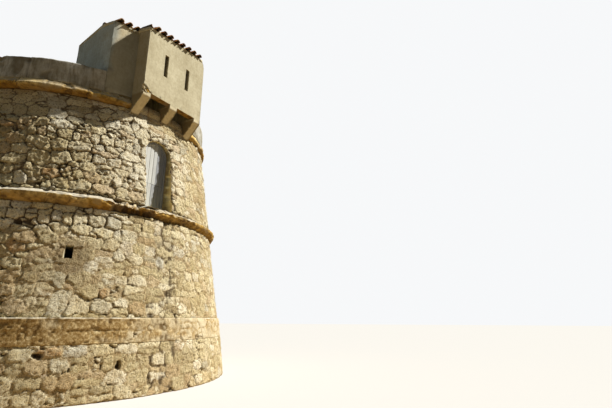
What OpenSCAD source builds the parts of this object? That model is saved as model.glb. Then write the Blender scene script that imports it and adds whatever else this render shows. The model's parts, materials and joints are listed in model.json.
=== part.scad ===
// Round coastal watch tower: battered masonry shell on a plinth, two cordons,
// a parapet round the terrace, and a roofed stair head with a defence box on corbels.
// The origin is on the tower's axis at ground level, +Z is up and the door faces -Y.

/* [Plinth] */
// Radius of the tower where it meets the ground
foot_r = 5000; // [4600:10:5600]
// Height of the plinth, which is solid masonry
plinth_h = 1650; // [1450:10:1900]
// Height of the smooth band at the top of the plinth
band_h = 540; // [400:10:700]
// How far the rubble below stands proud of the smooth band
band_step_w = 20; // [10:1:40]
// Batter of the rubble part of the plinth, as run over rise
foot_batter = 0.125; // [0.1:0.005:0.15]
// Batter of the smooth band, as run over rise
band_batter = 0.085; // [0.06:0.005:0.11]

/* [Walls] */
// Set-back of the tower wall on top of the plinth
wall_step_w = 90; // [50:5:130]
// Batter of the tower wall, as run over rise
wall_batter = 0.16; // [0.13:0.005:0.18]
// Radius of the lower room
lower_room_r = 2300; // [2000:10:2500]
// Width of each ledge that carries a vault
ledge_w = 150; // [100:5:200]

/* [Lower room] */
// Height at which the lower vault springs, over its floor
lower_spring_h = 1550; // [1450:10:1700]
// Rise of the lower vault
lower_rise = 780; // [650:10:820]
// Masonry over the crown of the lower vault
lower_crown_t = 320; // [260:10:400]
// Thickness of the paving of the upper room
paving_t = 130; // [80:5:180]
// Angle of the slit window from the front, towards the left
slit_turn = 29.5; // [20:0.5:38]
// Width of the slit window at the outer face
slit_w = 140; // [90:5:180]
// Width of the slit window at the inner face
slit_inner_w = 420; // [300:10:600]
// Height of the slit window
slit_h = 280; // [200:10:300]
// Distance of the slit window's top below the springing of the vault
slit_drop_h = 30; // [10:5:300]

/* [Cordons] */
// How far the middle cordon stands out of the wall
mid_proj = 195; // [150:5:220]
// Radius of the quarter round under the middle cordon's nose
mid_round = 185; // [150:5:210]
// Rise of the sloping top of the middle cordon, up to the door's sill
mid_slope_h = 110; // [80:5:120]
// Upright part of the middle cordon below its quarter round
mid_foot_h = 35; // [20:5:50]
// How deep the middle cordon's stones go into the wall
cordon_bed = 400; // [300:10:500]
// Height of the tower wall over the upper floor
upper_wall_h = 2660; // [2500:10:2800]
// How far the upper cordon stands out of the parapet
top_proj = 119; // [100:1:140]
// Radius of the half round of the upper cordon
top_round = 100; // [80:5:105]
// Rise of the sloping top of the upper cordon
top_slope_h = 100; // [60:5:120]

/* [Door] */
// Distance of the door's middle from the tower's middle, towards the left
door_off = 175; // [50:5:250]
// Width of the doorway
door_w = 820; // [720:10:920]
// Height of the doorway to the top of its round arch
door_h = 1980; // [1850:10:2050]
// How far the doorway's arched head bears on each jamb
head_bearing_w = 150; // [100:10:250]
// Depth of the recess in front of the door
door_recess_d = 270; // [200:10:400]
// Thickness of the planks of the door
door_t = 50; // [35:5:70]
// Width of the door's frame
frame_w = 45; // [30:5:60]
// Thickness of the door's frame
frame_t = 90; // [70:5:120]

/* [Upper room] */
// Height at which the dome of the upper room springs, over its floor
dome_spring_h = 1300; // [1200:10:1400]
// Rise of the dome
dome_rise = 950; // [800:10:1000]

/* [Terrace] */
// How far the parapet's face stands out of the top of the wall
parapet_out_w = 10; // [0:5:40]
// Thickness of the parapet
parapet_t = 450; // [350:10:550]
// Height of the parapet over the upper cordon
parapet_h = 610; // [450:10:800]
// Thickness of the terrace floor
terrace_t = 160; // [100:10:200]

/* [Defence box] */
// Width of the box over the door
box_w = 2130; // [1950:10:2300]
// How far the box's front stands out of the parapet's face
box_out_w = 340; // [280:10:420]
// Thickness of the box's front wall
box_front_t = 210; // [160:10:240]
// Thickness of the box's side walls
box_side_t = 200; // [160:10:240]
// Height of the underside of the box over the top of the wall
box_lift_h = 470; // [420:10:540]
// Height of the box's front wall
box_h = 1950; // [1850:10:2050]
// Width of each corbel
corbel_w = 260; // [200:10:300]
// How deep the corbels go behind the parapet's face
corbel_bed_w = 350; // [250:10:400]
// Height of the upright nose of each corbel
corbel_nose = 130; // [120:5:150]
// Rise of the corbels' raking face over its run
corbel_rake = 1.0; // [0.85:0.05:1.15]
// Width of the box's two slits
box_slit_w = 125; // [100:5:160]
// Height of the box's two slits
box_slit_h = 690; // [600:10:760]
// Height of the sills of the box's two slits over its underside
box_slit_sill_h = 750; // [640:10:840]
// Distance between the middles of the box's two slits
box_slit_gap = 810; // [700:10:900]
// Height of the lintels under the box's front wall
lintel_h = 80; // [60:5:120]
// How far the lintels sit behind the plaster
lintel_back = 20; // [10:5:40]
// Width of the broken corner of the box
break_w = 270; // [200:10:320]
// Height of the broken corner of the box
break_h = 190; // [150:10:240]
// Depth of the broken corner of the box
break_d = 90; // [60:5:120]

/* [Stair head] */
// How far the stair head stands out to the left of the box
head_side_w = 620; // [500:5:700]
// Depth of the stair head behind the parapet's face, to its back
head_depth = 1975; // [1850:5:2100]
// Thickness of the stair head's walls
head_t = 250; // [200:10:300]
// Width of the doorway in the back of the stair head
head_door_w = 800; // [700:10:900]
// Height of the doorway in the back of the stair head
head_door_h = 1800; // [1650:10:1850]

/* [Roof] */
// Distance of the ridge behind the box's front
ridge_depth = 1285; // [1100:5:1450]
// Pitch of the front slope, as rise over run
front_pitch = 0.155; // [0.12:0.005:0.18]
// Pitch of the rear slope, as rise over run
rear_pitch = 0.29; // [0.2:0.01:0.35]
// Rise of the whole roof towards the right, over its run
roof_rise = 0.08; // [0:0.01:0.1]
// Thickness of the roof with its tiles
roof_t = 130; // [100:5:160]
// Overhang of the roof at the front and rear eaves
eave_out = 60; // [40:5:130]
// Overhang of the roof at the verges
verge_out = 20; // [10:5:40]

/* [Hidden] */
$fn = 720;

// Angles are measured from +X towards +Y, so the front is at 270 degrees
front_a = 270;
left_a = 180;
back_a = 90;
right_a = 0;
// Half the angle of the front bay that is cut into jambs, sill and head
bay_a = 30;
// Angles at which the two mouldings' rounds start or end
mid_round_from_a = -80;
top_round_to_a = 60;
// Room for cuts that pass right through a wall
over = 600;

band_z = plinth_h - band_h;
plinth_lower_top_r = foot_r - foot_batter * band_z;
band_foot_r = plinth_lower_top_r - band_step_w;
plinth_top_r = band_foot_r - band_batter * band_h;
wall_foot_r = plinth_top_r - wall_step_w;
upper_room_r = lower_room_r + ledge_w;
dome_seat_r = upper_room_r + ledge_w;

lower_spring_z = plinth_h + lower_spring_h;
lower_crown_z = lower_spring_z + lower_rise;
slit_z = lower_spring_z - slit_drop_h - slit_h;
vault_top_z = lower_crown_z + lower_crown_t;
floor_z = vault_top_z + paving_t;
wall_top_z = floor_z + upper_wall_h;
mid_nose_z = floor_z - mid_slope_h;
mid_bottom_z = mid_nose_z - mid_round - mid_foot_h;
mid_nose_r = wall_r(mid_nose_z) + mid_proj;
cordon_in_r = mid_nose_r - mid_proj - cordon_bed;
parapet_r = wall_r(wall_top_z) + parapet_out_w;
parapet_in_r = parapet_r - parapet_t;
top_nose_r = parapet_r + top_proj;
top_nose_z = wall_top_z + 2 * top_round;
course_top_z = top_nose_z + top_slope_h;
terrace_z = wall_top_z + terrace_t;
parapet_z = course_top_z + parapet_h;
dome_spring_z = floor_z + dome_spring_h;

door_left_x = -door_off - door_w / 2;
door_right_x = -door_off + door_w / 2;
door_arch_r = door_w / 2;
door_spring_z = floor_z + door_h - door_arch_r;
door_face_y = -sqrt(pow(wall_r(floor_z + door_h / 2), 2) - pow(door_off, 2));

box_half = box_w / 2;
box_front = parapet_r + box_out_w;
box_z = wall_top_z + box_lift_h;
box_slit_z = box_z + box_slit_sill_h;
eave_z = box_z + box_h;
box_in = box_front - box_front_t;
lintel_far = box_half - corbel_w / 2;
lintel_near = corbel_w / 4;
head_left = box_half + head_side_w;
head_back = parapet_r - head_depth;
ridge_n = box_front - ridge_depth;
slit_a = front_a - slit_turn;
slit_face_r = wall_r(slit_z + slit_h / 2);
ridge_under_z = eave_z + front_pitch * (box_front - ridge_n);

stone_c = "#b9a98a";
band_c = "#c3b394";
cordon_c = "#c08a4e";
plaster_c = "#cdbf9d";
parapet_c = "#a89c84";
wood_c = "#8f8d88";
tile_c = "#7a4a34";
paving_c = "#9c8f78";

// Radius of the tower wall's outer face at height z
function wall_r(z) = wall_foot_r - wall_batter * (z - plinth_h);

// Height of the roof's underside at the box's left side, at distance n from the axis
function roof_under_z(n) =
  n >= ridge_n
    ? ridge_under_z - front_pitch * (n - ridge_n)
    : ridge_under_z - rear_pitch * (ridge_n - n);

// Radius of the sphere that gives a dome of this span and rise
function dome_r(r, rise) = (r * r + rise * rise) / (2 * rise);

// Points of a round moulding, from angle a to angle b about a centre
function arc(centre, r, a, b, steps = 12) = [
  for (i = [0:steps])
    let (t = a + (b - a) * i / steps)
      [centre[0] + r * cos(t), centre[1] + r * sin(t)]
];

// Ring segment between two angles, from an outline of radius and height
module sector(from, to, outline) {
  rotate([0, 0, from])
    rotate_extrude(angle = to - from)
      polygon(outline);
}

// Prism along X from an outline of distance to the front and height
module side_prism(x_from, x_to, outline) {
  translate([x_to, 0, 0])
    rotate([90, 0, -90])
      linear_extrude(x_to - x_from)
        polygon(outline);
}

// Prism along X that rises with the roof, from an outline of distance to the front and height
module roof_prism(x_from, x_to, outline) {
  n = len(outline);
  polyhedron(
    points = [
      for (x = [x_from, x_to])
        for (p = outline)
          [x, -p[0], p[1] + roof_rise * (x + box_half)]
    ],
    faces = concat(
      [[for (i = [n - 1:-1:0]) i]],
      [[for (i = [n:2 * n - 1]) i]],
      [for (i = [0:n - 1]) [i, (i + 1) % n, n + (i + 1) % n, n + i]]
    )
  );
}

// Block between two X values, two distances to the front and two heights
module block(x, n, z) {
  translate([x[0], -n[1], z[0]])
    cube([x[1] - x[0], n[1] - n[0], z[1] - z[0]]);
}

// Everything on one side of an upright plane across X, from a height upwards
module beyond_x(x, side, z_from = -over) {
  reach = foot_r * 2;
  translate([side > 0 ? x : x - reach, -reach / 2, z_from])
    cube([reach, reach, parapet_z * 2]);
}

// Outlines of the rings
function lower_wall_outline() = [
  [lower_room_r, plinth_h],
  [wall_foot_r, plinth_h],
  [wall_r(mid_bottom_z), mid_bottom_z],
  [upper_room_r, mid_bottom_z],
  [upper_room_r, lower_spring_z],
  [lower_room_r, lower_spring_z]
];

function mid_cordon_outline() = concat(
  [
    [cordon_in_r, mid_bottom_z],
    [wall_r(mid_bottom_z), mid_bottom_z]
  ],
  arc([mid_nose_r - mid_round, mid_nose_z], mid_round, mid_round_from_a, 0),
  [
    [wall_r(floor_z), floor_z],
    [cordon_in_r, floor_z]
  ]
);

function upper_wall_outline() = [
  [upper_room_r, mid_bottom_z],
  [cordon_in_r, mid_bottom_z],
  [cordon_in_r, floor_z],
  [wall_r(floor_z), floor_z],
  [wall_r(wall_top_z), wall_top_z],
  [dome_seat_r, wall_top_z],
  [dome_seat_r, dome_spring_z],
  [upper_room_r, dome_spring_z]
];

function top_cordon_outline() = concat(
  [[parapet_in_r, wall_top_z]],
  arc([top_nose_r - top_round, wall_top_z + top_round], top_round, -90, top_round_to_a),
  [[parapet_r, course_top_z], [parapet_in_r, course_top_z]]
);

function parapet_outline() = [
  [parapet_in_r, course_top_z],
  [parapet_r, course_top_z],
  [parapet_r, parapet_z],
  [parapet_in_r, parapet_z]
];

// Plan of the slit window's bay, which widens inwards, between two heights
module slit_bay(z_from, z_to) {
  rotate([0, 0, slit_a])
    translate([0, 0, z_from])
      linear_extrude(z_to - z_from)
        polygon([
          [lower_room_r - over, -slit_inner_w / 2],
          [lower_room_r, -slit_inner_w / 2],
          [slit_face_r, -slit_w / 2],
          [slit_face_r + over, -slit_w / 2],
          [slit_face_r + over, slit_w / 2],
          [slit_face_r, slit_w / 2],
          [lower_room_r, slit_inner_w / 2],
          [lower_room_r - over, slit_inner_w / 2]
        ]);
}

// Upright doorway shape with a round head, between two Y values
module doorway(grow, y_from, y_to, z_bottom) {
  w = door_w + 2 * grow;
  translate([-door_off - w / 2, y_from, z_bottom])
    cube([w, y_to - y_from, door_spring_z - z_bottom]);
  translate([-door_off, y_to, door_spring_z])
    rotate([90, 0, 0])
      cylinder(r = w / 2, h = y_to - y_from);
}

// Everything below the roof's underside
module under_roof() {
  reach = box_front + over;
  roof_prism(-foot_r, foot_r, [
    [0, 0],
    [reach, 0],
    [reach, roof_under_z(reach)],
    [ridge_n, ridge_under_z],
    [0, roof_under_z(0)]
  ]);
}

// Solid masonry base
module plinth_base() {
  color(stone_c)
    cylinder(r1 = foot_r, r2 = plinth_lower_top_r, h = band_z);
}

module plinth_band() {
  color(band_c)
    translate([0, 0, band_z])
      cylinder(r1 = band_foot_r, r2 = plinth_top_r, h = band_h);
}

// Lower wall
module lower_wall_left_front() {
  color(stone_c)
    difference() {
      sector(left_a, slit_a, lower_wall_outline());
      slit_bay(0, parapet_z);
    }
}

module lower_wall_front_left() {
  color(stone_c)
    difference() {
      sector(slit_a, front_a, lower_wall_outline());
      slit_bay(0, parapet_z);
    }
}

module lower_wall_front_right() {
  color(stone_c)
    sector(front_a, front_a + 90, lower_wall_outline());
}

module lower_wall_back_left() {
  color(stone_c)
    sector(back_a, left_a, lower_wall_outline());
}

module lower_wall_back_right() {
  color(stone_c)
    sector(right_a, back_a, lower_wall_outline());
}

module slit_sill() {
  color(stone_c)
    intersection() {
      sector(left_a, front_a, lower_wall_outline());
      slit_bay(0, slit_z);
    }
}

module slit_lintel() {
  color(stone_c)
    intersection() {
      sector(left_a, front_a, lower_wall_outline());
      slit_bay(slit_z + slit_h, parapet_z);
    }
}

// Vault over the lower room, with its filling
module lower_vault() {
  ball_r = dome_r(lower_room_r, lower_rise);
  color(paving_c)
    difference() {
      translate([0, 0, lower_spring_z])
        cylinder(r = upper_room_r, h = vault_top_z - lower_spring_z);
      translate([0, 0, lower_crown_z - ball_r])
        sphere(r = ball_r);
    }
}

module upper_floor() {
  color(paving_c)
    translate([0, 0, vault_top_z])
      cylinder(r = upper_room_r, h = paving_t);
}

// Cordon between the storeys
module mid_cordon_front() {
  color(cordon_c)
    sector(left_a, left_a + 180, mid_cordon_outline());
}

module mid_cordon_back() {
  color(cordon_c)
    sector(right_a, left_a, mid_cordon_outline());
}

// Upper wall
module upper_wall_front_left() {
  color(stone_c)
    difference() {
      sector(left_a, front_a + bay_a, upper_wall_outline());
      beyond_x(door_left_x, 1);
      beyond_x(door_left_x - head_bearing_w, 1, door_spring_z);
    }
}

module upper_wall_front_right() {
  color(stone_c)
    difference() {
      sector(front_a - bay_a, front_a + 90, upper_wall_outline());
      beyond_x(door_right_x, -1);
      beyond_x(door_right_x + head_bearing_w, -1, door_spring_z);
    }
}

module upper_wall_back_left() {
  color(stone_c)
    sector(back_a, left_a, upper_wall_outline());
}

module upper_wall_back_right() {
  color(stone_c)
    sector(right_a, back_a, upper_wall_outline());
}

// Part of the front wall between two upright planes, beside the door's jambs
module door_bay(outline, beside) {
  difference() {
    sector(front_a - bay_a, front_a + bay_a, outline);
    beyond_x(door_left_x - beside, -1);
    beyond_x(door_right_x + beside, 1);
  }
}

module door_sill() {
  color(stone_c)
    door_bay([
      [upper_room_r, mid_bottom_z],
      [cordon_in_r, mid_bottom_z],
      [cordon_in_r, floor_z],
      [upper_room_r, floor_z]
    ], 0);
}

module door_head() {
  color(stone_c)
    difference() {
      door_bay(upper_wall_outline(), head_bearing_w);
      translate([-foot_r, -foot_r, 0])
        cube([2 * foot_r, 2 * foot_r, door_spring_z]);
      doorway(0, -foot_r, 0, floor_z);
    }
}

module door_frame() {
  y_front = door_face_y + door_recess_d;
  color(wood_c)
    difference() {
      doorway(0, y_front, y_front + frame_t, floor_z);
      doorway(-frame_w, y_front - over, y_front + over, floor_z - over);
    }
}

module door_leaf() {
  y_front = door_face_y + door_recess_d;
  color(wood_c)
    doorway(-frame_w, y_front, y_front + door_t, floor_z);
}

// Dome of the upper room, with its filling, which the doorway runs into
module upper_dome() {
  ball_r = dome_r(upper_room_r, dome_rise);
  color(paving_c)
    difference() {
      translate([0, 0, dome_spring_z])
        cylinder(r = dome_seat_r, h = wall_top_z - dome_spring_z);
      translate([0, 0, dome_spring_z + dome_rise - ball_r])
        sphere(r = ball_r);
      doorway(0, -foot_r, 0, floor_z);
    }
}

module terrace_floor() {
  color(paving_c)
    translate([0, 0, wall_top_z])
      cylinder(r = parapet_in_r, h = terrace_t);
}

// Upper cordon, which stops at the outer corbels
module top_cordon_front_left() {
  color(cordon_c)
    difference() {
      sector(left_a, front_a, top_cordon_outline());
      beyond_x(-box_half, 1);
    }
}

module top_cordon_front_right() {
  color(cordon_c)
    difference() {
      sector(front_a, front_a + 90, top_cordon_outline());
      beyond_x(box_half, -1);
    }
}

module top_cordon_back_left() {
  color(cordon_c)
    sector(back_a, left_a, top_cordon_outline());
}

module top_cordon_back_right() {
  color(cordon_c)
    sector(right_a, back_a, top_cordon_outline());
}

// Parapet, which stops at the stair head
module parapet_front_left() {
  color(parapet_c)
    difference() {
      sector(left_a, front_a, parapet_outline());
      beyond_x(-head_left, 1);
    }
}

module parapet_front_right() {
  color(parapet_c)
    difference() {
      sector(front_a, front_a + 90, parapet_outline());
      beyond_x(box_half, -1);
    }
}

module parapet_back_left() {
  color(parapet_c)
    sector(back_a, left_a, parapet_outline());
}

module parapet_back_right() {
  color(parapet_c)
    sector(right_a, back_a, parapet_outline());
}

// Side view of a corbel, drawn out between two X values
module corbel_prism(x_from, x_to) {
  tail_n = parapet_r - corbel_bed_w;
  rake_foot_z = box_z - corbel_nose - corbel_rake * (box_front - tail_n);
  side_prism(x_from, x_to, [
    [tail_n, rake_foot_z],
    [box_front, box_z - corbel_nose],
    [box_front, box_z],
    [tail_n, box_z]
  ]);
}

// Corbel that dies into the battered wall, with its tail on top of the wall
module corbel(x) {
  difference() {
    corbel_prism(x - corbel_w / 2, x + corbel_w / 2);
    cylinder(r1 = wall_r(0), r2 = wall_r(wall_top_z), h = wall_top_z);
  }
}

module corbel_left() {
  color(plaster_c)
    corbel(corbel_w / 2 - box_half);
}

module corbel_middle() {
  color(plaster_c)
    corbel(0);
}

module corbel_right() {
  color(plaster_c)
    corbel(box_half - corbel_w / 2);
}

// Course of the wall between the corbels
module box_sill() {
  color(stone_c)
    difference() {
      sector(front_a - bay_a, front_a + bay_a, [
        [parapet_in_r, wall_top_z],
        [wall_r(wall_top_z), wall_top_z],
        [wall_r(course_top_z), course_top_z],
        [parapet_in_r, course_top_z]
      ]);
      beyond_x(-box_half, -1);
      beyond_x(box_half, 1);
      corbel_prism(-box_half - over, corbel_w - box_half);
      corbel_prism(-corbel_w / 2, corbel_w / 2);
      corbel_prism(box_half - corbel_w, box_half + over);
    }
}

// Lintels from corbel to corbel under the box's front wall
module lintel(x_from, x_to) {
  block([x_from, x_to], [box_in, box_front - lintel_back], [box_z, box_z + lintel_h]);
}

module both_lintels() {
  lintel(-lintel_far, -lintel_near);
  lintel(lintel_near, lintel_far);
}

module box_lintels() {
  color(cordon_c)
    both_lintels();
}

// Corner that has broken off the box at its lower left
module broken_corner() {
  translate([-box_half, 0, box_z])
    rotate([90, 0, 0])
      translate([0, 0, box_front - break_d])
        linear_extrude(break_d + over)
          polygon([[-over, -over], [break_w, -over], [break_w, 0], [0, break_h], [-over, break_h]]);
}

module box_front_wall() {
  color(plaster_c)
    difference() {
      intersection() {
        block([-box_half, box_half], [box_in, box_front], [box_z, eave_z + over]);
        under_roof();
      }
      for (side = [-1, 1])
        block(
          [side * box_slit_gap / 2 - box_slit_w / 2, side * box_slit_gap / 2 + box_slit_w / 2],
          [box_in - over, box_front + over],
          [box_slit_z, box_slit_z + box_slit_h]
        );
      both_lintels();
      broken_corner();
    }
}

// Space taken by the cordon course under the walls of the stair head
module course_space() {
  sector(left_a, left_a + 180, [
    [parapet_in_r, 0],
    [foot_r, 0],
    [foot_r, course_top_z],
    [parapet_in_r, course_top_z]
  ]);
}

module box_left_wall() {
  color(plaster_c)
    difference() {
      intersection() {
        block(
          [-box_half, box_side_t - box_half],
          [parapet_in_r, box_in],
          [course_top_z, eave_z + over]
        );
        under_roof();
      }
      corbel(corbel_w / 2 - box_half);
    }
}

module box_right_wall() {
  color(plaster_c)
    difference() {
      intersection() {
        block([box_half - box_side_t, box_half], [head_back, box_in], [terrace_z, eave_z + over]);
        under_roof();
      }
      course_space();
      corbel(box_half - corbel_w / 2);
    }
}

// Curved wall of the stair head, flush with the parapet
module head_front_wall() {
  color(plaster_c)
    difference() {
      intersection() {
        sector(front_a - 2 * bay_a, front_a, [
          [parapet_r - head_t, course_top_z],
          [parapet_r, course_top_z],
          [parapet_r, eave_z + over],
          [parapet_r - head_t, eave_z + over]
        ]);
        under_roof();
      }
      beyond_x(-head_left, -1);
      beyond_x(-box_half, 1);
    }
}

module head_left_wall() {
  color(plaster_c)
    difference() {
      intersection() {
        block([-head_left, head_t - head_left], [head_back, parapet_r], [terrace_z, eave_z + over]);
        under_roof();
      }
      course_space();
      sector(left_a, front_a, [
        [parapet_r - head_t, 0],
        [foot_r, 0],
        [foot_r, eave_z + over],
        [parapet_r - head_t, eave_z + over]
      ]);
    }
}

module head_back_wall() {
  x_from = head_t - head_left;
  x_to = box_half - box_side_t;
  door_x = (x_from + x_to) / 2;
  color(plaster_c)
    difference() {
      intersection() {
        block([x_from, x_to], [head_back, head_back + head_t], [terrace_z, eave_z + over]);
        under_roof();
      }
      block(
        [door_x - head_door_w / 2, door_x + head_door_w / 2],
        [head_back - over, head_back + over],
        [terrace_z - over, terrace_z + head_door_h]
      );
    }
}

// Plan of the roof, with the front edge round where it follows the parapet
module roof_plan_front() {
  block([-box_half - verge_out, box_half + verge_out], [ridge_n, box_front + eave_out], [0, 2 * over]);
  intersection() {
    block([-head_left - verge_out, -box_half], [ridge_n, box_front], [0, 2 * over]);
    cylinder(r = parapet_r + eave_out, h = 2 * over);
  }
}

module roof_front() {
  reach = box_front + 2 * eave_out;
  color(tile_c)
    intersection() {
      translate([0, 0, eave_z - over])
        roof_plan_front();
      roof_prism(-foot_r, foot_r, [
        [ridge_n, ridge_under_z],
        [reach, roof_under_z(reach)],
        [reach, roof_under_z(reach) + roof_t],
        [ridge_n, ridge_under_z + roof_t]
      ]);
    }
}

module roof_rear() {
  back = head_back - eave_out;
  color(tile_c)
    roof_prism(-head_left - verge_out, box_half + verge_out, [
      [back, roof_under_z(back)],
      [ridge_n, ridge_under_z],
      [ridge_n, ridge_under_z + roof_t],
      [back, roof_under_z(back) + roof_t]
    ]);
}

plinth_base();
plinth_band();
lower_wall_left_front();
lower_wall_front_left();
lower_wall_front_right();
lower_wall_back_left();
lower_wall_back_right();
slit_sill();
slit_lintel();
lower_vault();
upper_floor();
mid_cordon_front();
mid_cordon_back();
upper_wall_front_left();
upper_wall_front_right();
upper_wall_back_left();
upper_wall_back_right();
door_sill();
door_head();
door_frame();
door_leaf();
upper_dome();
terrace_floor();
top_cordon_front_left();
top_cordon_front_right();
top_cordon_back_left();
top_cordon_back_right();
parapet_front_left();
parapet_front_right();
parapet_back_left();
parapet_back_right();
box_sill();
corbel_left();
corbel_middle();
corbel_right();
box_lintels();
box_front_wall();
box_left_wall();
box_right_wall();
head_front_wall();
head_left_wall();
head_back_wall();
roof_front();
roof_rear();
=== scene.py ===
"""Looks of a round coastal watch tower: rubble walls, weathered cordons, a plastered
stair head with a defence box, clay tiles and a plank door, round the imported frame."""

import json
import math
from contextlib import contextmanager
from itertools import product

import bmesh
import bpy
import numpy as np
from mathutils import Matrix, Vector

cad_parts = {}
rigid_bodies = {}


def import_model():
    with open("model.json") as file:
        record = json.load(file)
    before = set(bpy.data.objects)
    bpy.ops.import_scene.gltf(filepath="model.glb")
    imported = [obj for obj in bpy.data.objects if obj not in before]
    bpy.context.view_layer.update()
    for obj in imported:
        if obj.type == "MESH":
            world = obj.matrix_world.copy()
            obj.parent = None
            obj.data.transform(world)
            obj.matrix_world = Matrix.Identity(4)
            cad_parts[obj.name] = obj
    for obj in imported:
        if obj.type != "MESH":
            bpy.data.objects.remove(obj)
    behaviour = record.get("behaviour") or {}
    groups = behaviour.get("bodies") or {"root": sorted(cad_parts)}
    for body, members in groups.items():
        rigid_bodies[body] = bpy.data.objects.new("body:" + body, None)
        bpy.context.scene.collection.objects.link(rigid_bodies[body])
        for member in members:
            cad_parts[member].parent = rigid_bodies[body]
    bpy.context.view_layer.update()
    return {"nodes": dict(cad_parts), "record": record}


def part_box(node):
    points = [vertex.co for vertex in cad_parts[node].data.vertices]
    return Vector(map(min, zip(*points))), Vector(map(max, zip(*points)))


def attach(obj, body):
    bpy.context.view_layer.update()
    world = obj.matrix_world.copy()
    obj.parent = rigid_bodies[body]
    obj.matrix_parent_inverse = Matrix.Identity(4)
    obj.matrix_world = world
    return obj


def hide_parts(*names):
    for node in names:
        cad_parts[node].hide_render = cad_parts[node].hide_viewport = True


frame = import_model()
BODY = "root"
TURN = 2 * math.pi
FRONT, LEFT, BACK, RIGHT = 1.5 * math.pi, math.pi, 0.5 * math.pi, 0.0

# Mesh steps in metres, at the front and at the back, finer where the raised door faces
WALL_STEPS = (0.022, 0.031)
CORDON_STEPS = (0.026, 0.026)
PARAPET_STEPS = (0.034, 0.034)
PLINTH_STEP = 0.026


# Reading the frame
def points(name):
    """Vertices of a CAD node as rows of x, y, z."""
    mesh = frame["nodes"][name].data
    co = np.empty(len(mesh.vertices) * 3)
    mesh.vertices.foreach_get("co", co)
    return co.reshape(-1, 3)


def rim(name, z, side=max):
    """Largest or smallest radius of a node's vertices at a height."""
    co = points(name)
    at = np.abs(co[:, 2] - z) < 1e-3
    return float(side(np.hypot(co[at, 0], co[at, 1])))


def cap_outline(name, angle):
    """Outline in radius and height of a ring node's end face at an angle, counter-clockwise."""
    co = points(name)
    across = co[:, 0] * -math.sin(angle) + co[:, 1] * math.cos(angle)
    along = co[:, 0] * math.cos(angle) + co[:, 1] * math.sin(angle)
    on = np.flatnonzero((np.abs(across) < 1e-4) & (along > 0))
    key = {i: (round(float(along[i]), 4), round(float(co[i, 2]), 4)) for i in on}
    edges = set()
    for polygon in frame["nodes"][name].data.polygons:
        loop = list(polygon.vertices)
        if all(i in key for i in loop):
            edges.update((key[a], key[b]) for a, b in zip(loop, loop[1:] + loop[:1]))
    following = {a: b for a, b in edges if (b, a) not in edges}
    line = [min(following)]
    while following[line[-1]] != line[0]:
        line.append(following[line[-1]])
    line = np.array(line)
    after = np.roll(line, -1, axis=0)
    area = np.sum(line[:, 0] * after[:, 1] - after[:, 0] * line[:, 1])
    return line if area > 0 else line[::-1]


FOOT_R, BAND_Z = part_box("plinth_base")[1].xz
PLINTH_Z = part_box("plinth_band")[1].z
FLOOR_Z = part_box("door_leaf")[0].z
WALL_TOP_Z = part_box("upper_wall_back_left")[1].z
WALL_FOOT_R = rim("lower_wall_back_left", PLINTH_Z)
WALL_TOP_R = rim("upper_wall_back_left", WALL_TOP_Z)
PARAPET_FOOT_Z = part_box("parapet_back_left")[0].z
PARAPET_TOP_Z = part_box("parapet_back_left")[1].z
PARAPET_R = rim("parapet_back_left", PARAPET_TOP_Z)
BOX_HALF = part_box("box_front_wall")[1].x
BOX_FRONT = -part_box("box_front_wall")[0].y
BOX_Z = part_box("corbel_left")[1].z
HEAD_LEFT = -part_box("head_left_wall")[0].x
HEAD_BACK = -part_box("head_back_wall")[1].y
DOOR_LOW, DOOR_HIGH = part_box("door_frame")
DOOR_X = (DOOR_LOW.x + DOOR_HIGH.x) / 2
DOOR_HALF = (DOOR_HIGH.x - DOOR_LOW.x) / 2
DOOR_SPRING_Z = DOOR_HIGH.z - DOOR_HALF


# Smooth noise on points in space
def lattice(ix, iy, iz, seed):
    """Repeatable value from 0 to 1 for each whole-number cell."""
    word = np.uint64(0xFFFFFFFF)
    h = ix.astype(np.uint64) * np.uint64(0x8DA6B343)
    h ^= iy.astype(np.uint64) * np.uint64(0xD8163841)
    h ^= iz.astype(np.uint64) * np.uint64(0xCB1AB31F)
    h ^= np.uint64(seed * 0x9E3779B1 & 0xFFFFFFFF)
    h &= word
    for shift, factor in ((13, 0x5BD1E995), (15, 0x27D4EB2F)):
        h ^= h >> np.uint64(shift)
        h = (h * np.uint64(factor)) & word
    h ^= h >> np.uint64(14)
    return h.astype(np.float64) / float(word)


def noise(p, size, seed):
    """Value noise from -1 to 1 with features of a size in metres."""
    q = p / size + 1000.0
    cell = np.floor(q)
    f = q - cell
    f = f * f * f * (f * (f * 6 - 15) + 10)
    c = cell.astype(np.int64)
    side = (1 - f, f)
    total = 0.0
    for dx, dy, dz in product((0, 1), repeat=3):
        weight = side[dx][..., 0] * side[dy][..., 1] * side[dz][..., 2]
        total = total + weight * lattice(c[..., 0] + dx, c[..., 1] + dy, c[..., 2] + dz, seed)
    return total * 2 - 1


def layered(p, size, seed, octaves=3):
    """Sum of noises, each half the size and half the strength of the last."""
    total, weight = 0.0, 0.0
    for k in range(octaves):
        total = total + noise(p, size / 2**k, seed + k) / 2**k
        weight += 1 / 2**k
    return total / weight


def smooth(x, low, high):
    """Soft step from 0 at low to 1 at high."""
    t = np.clip((x - low) / (high - low), 0, 1)
    return t * t * (3 - 2 * t)


def signed(angle):
    """The same angle between minus and plus half a turn."""
    return (angle + math.pi) % TURN - math.pi


def from_front(angle):
    """Degrees from the front, positive to the right of the raised door."""
    return np.degrees(signed(angle - FRONT))


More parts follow.
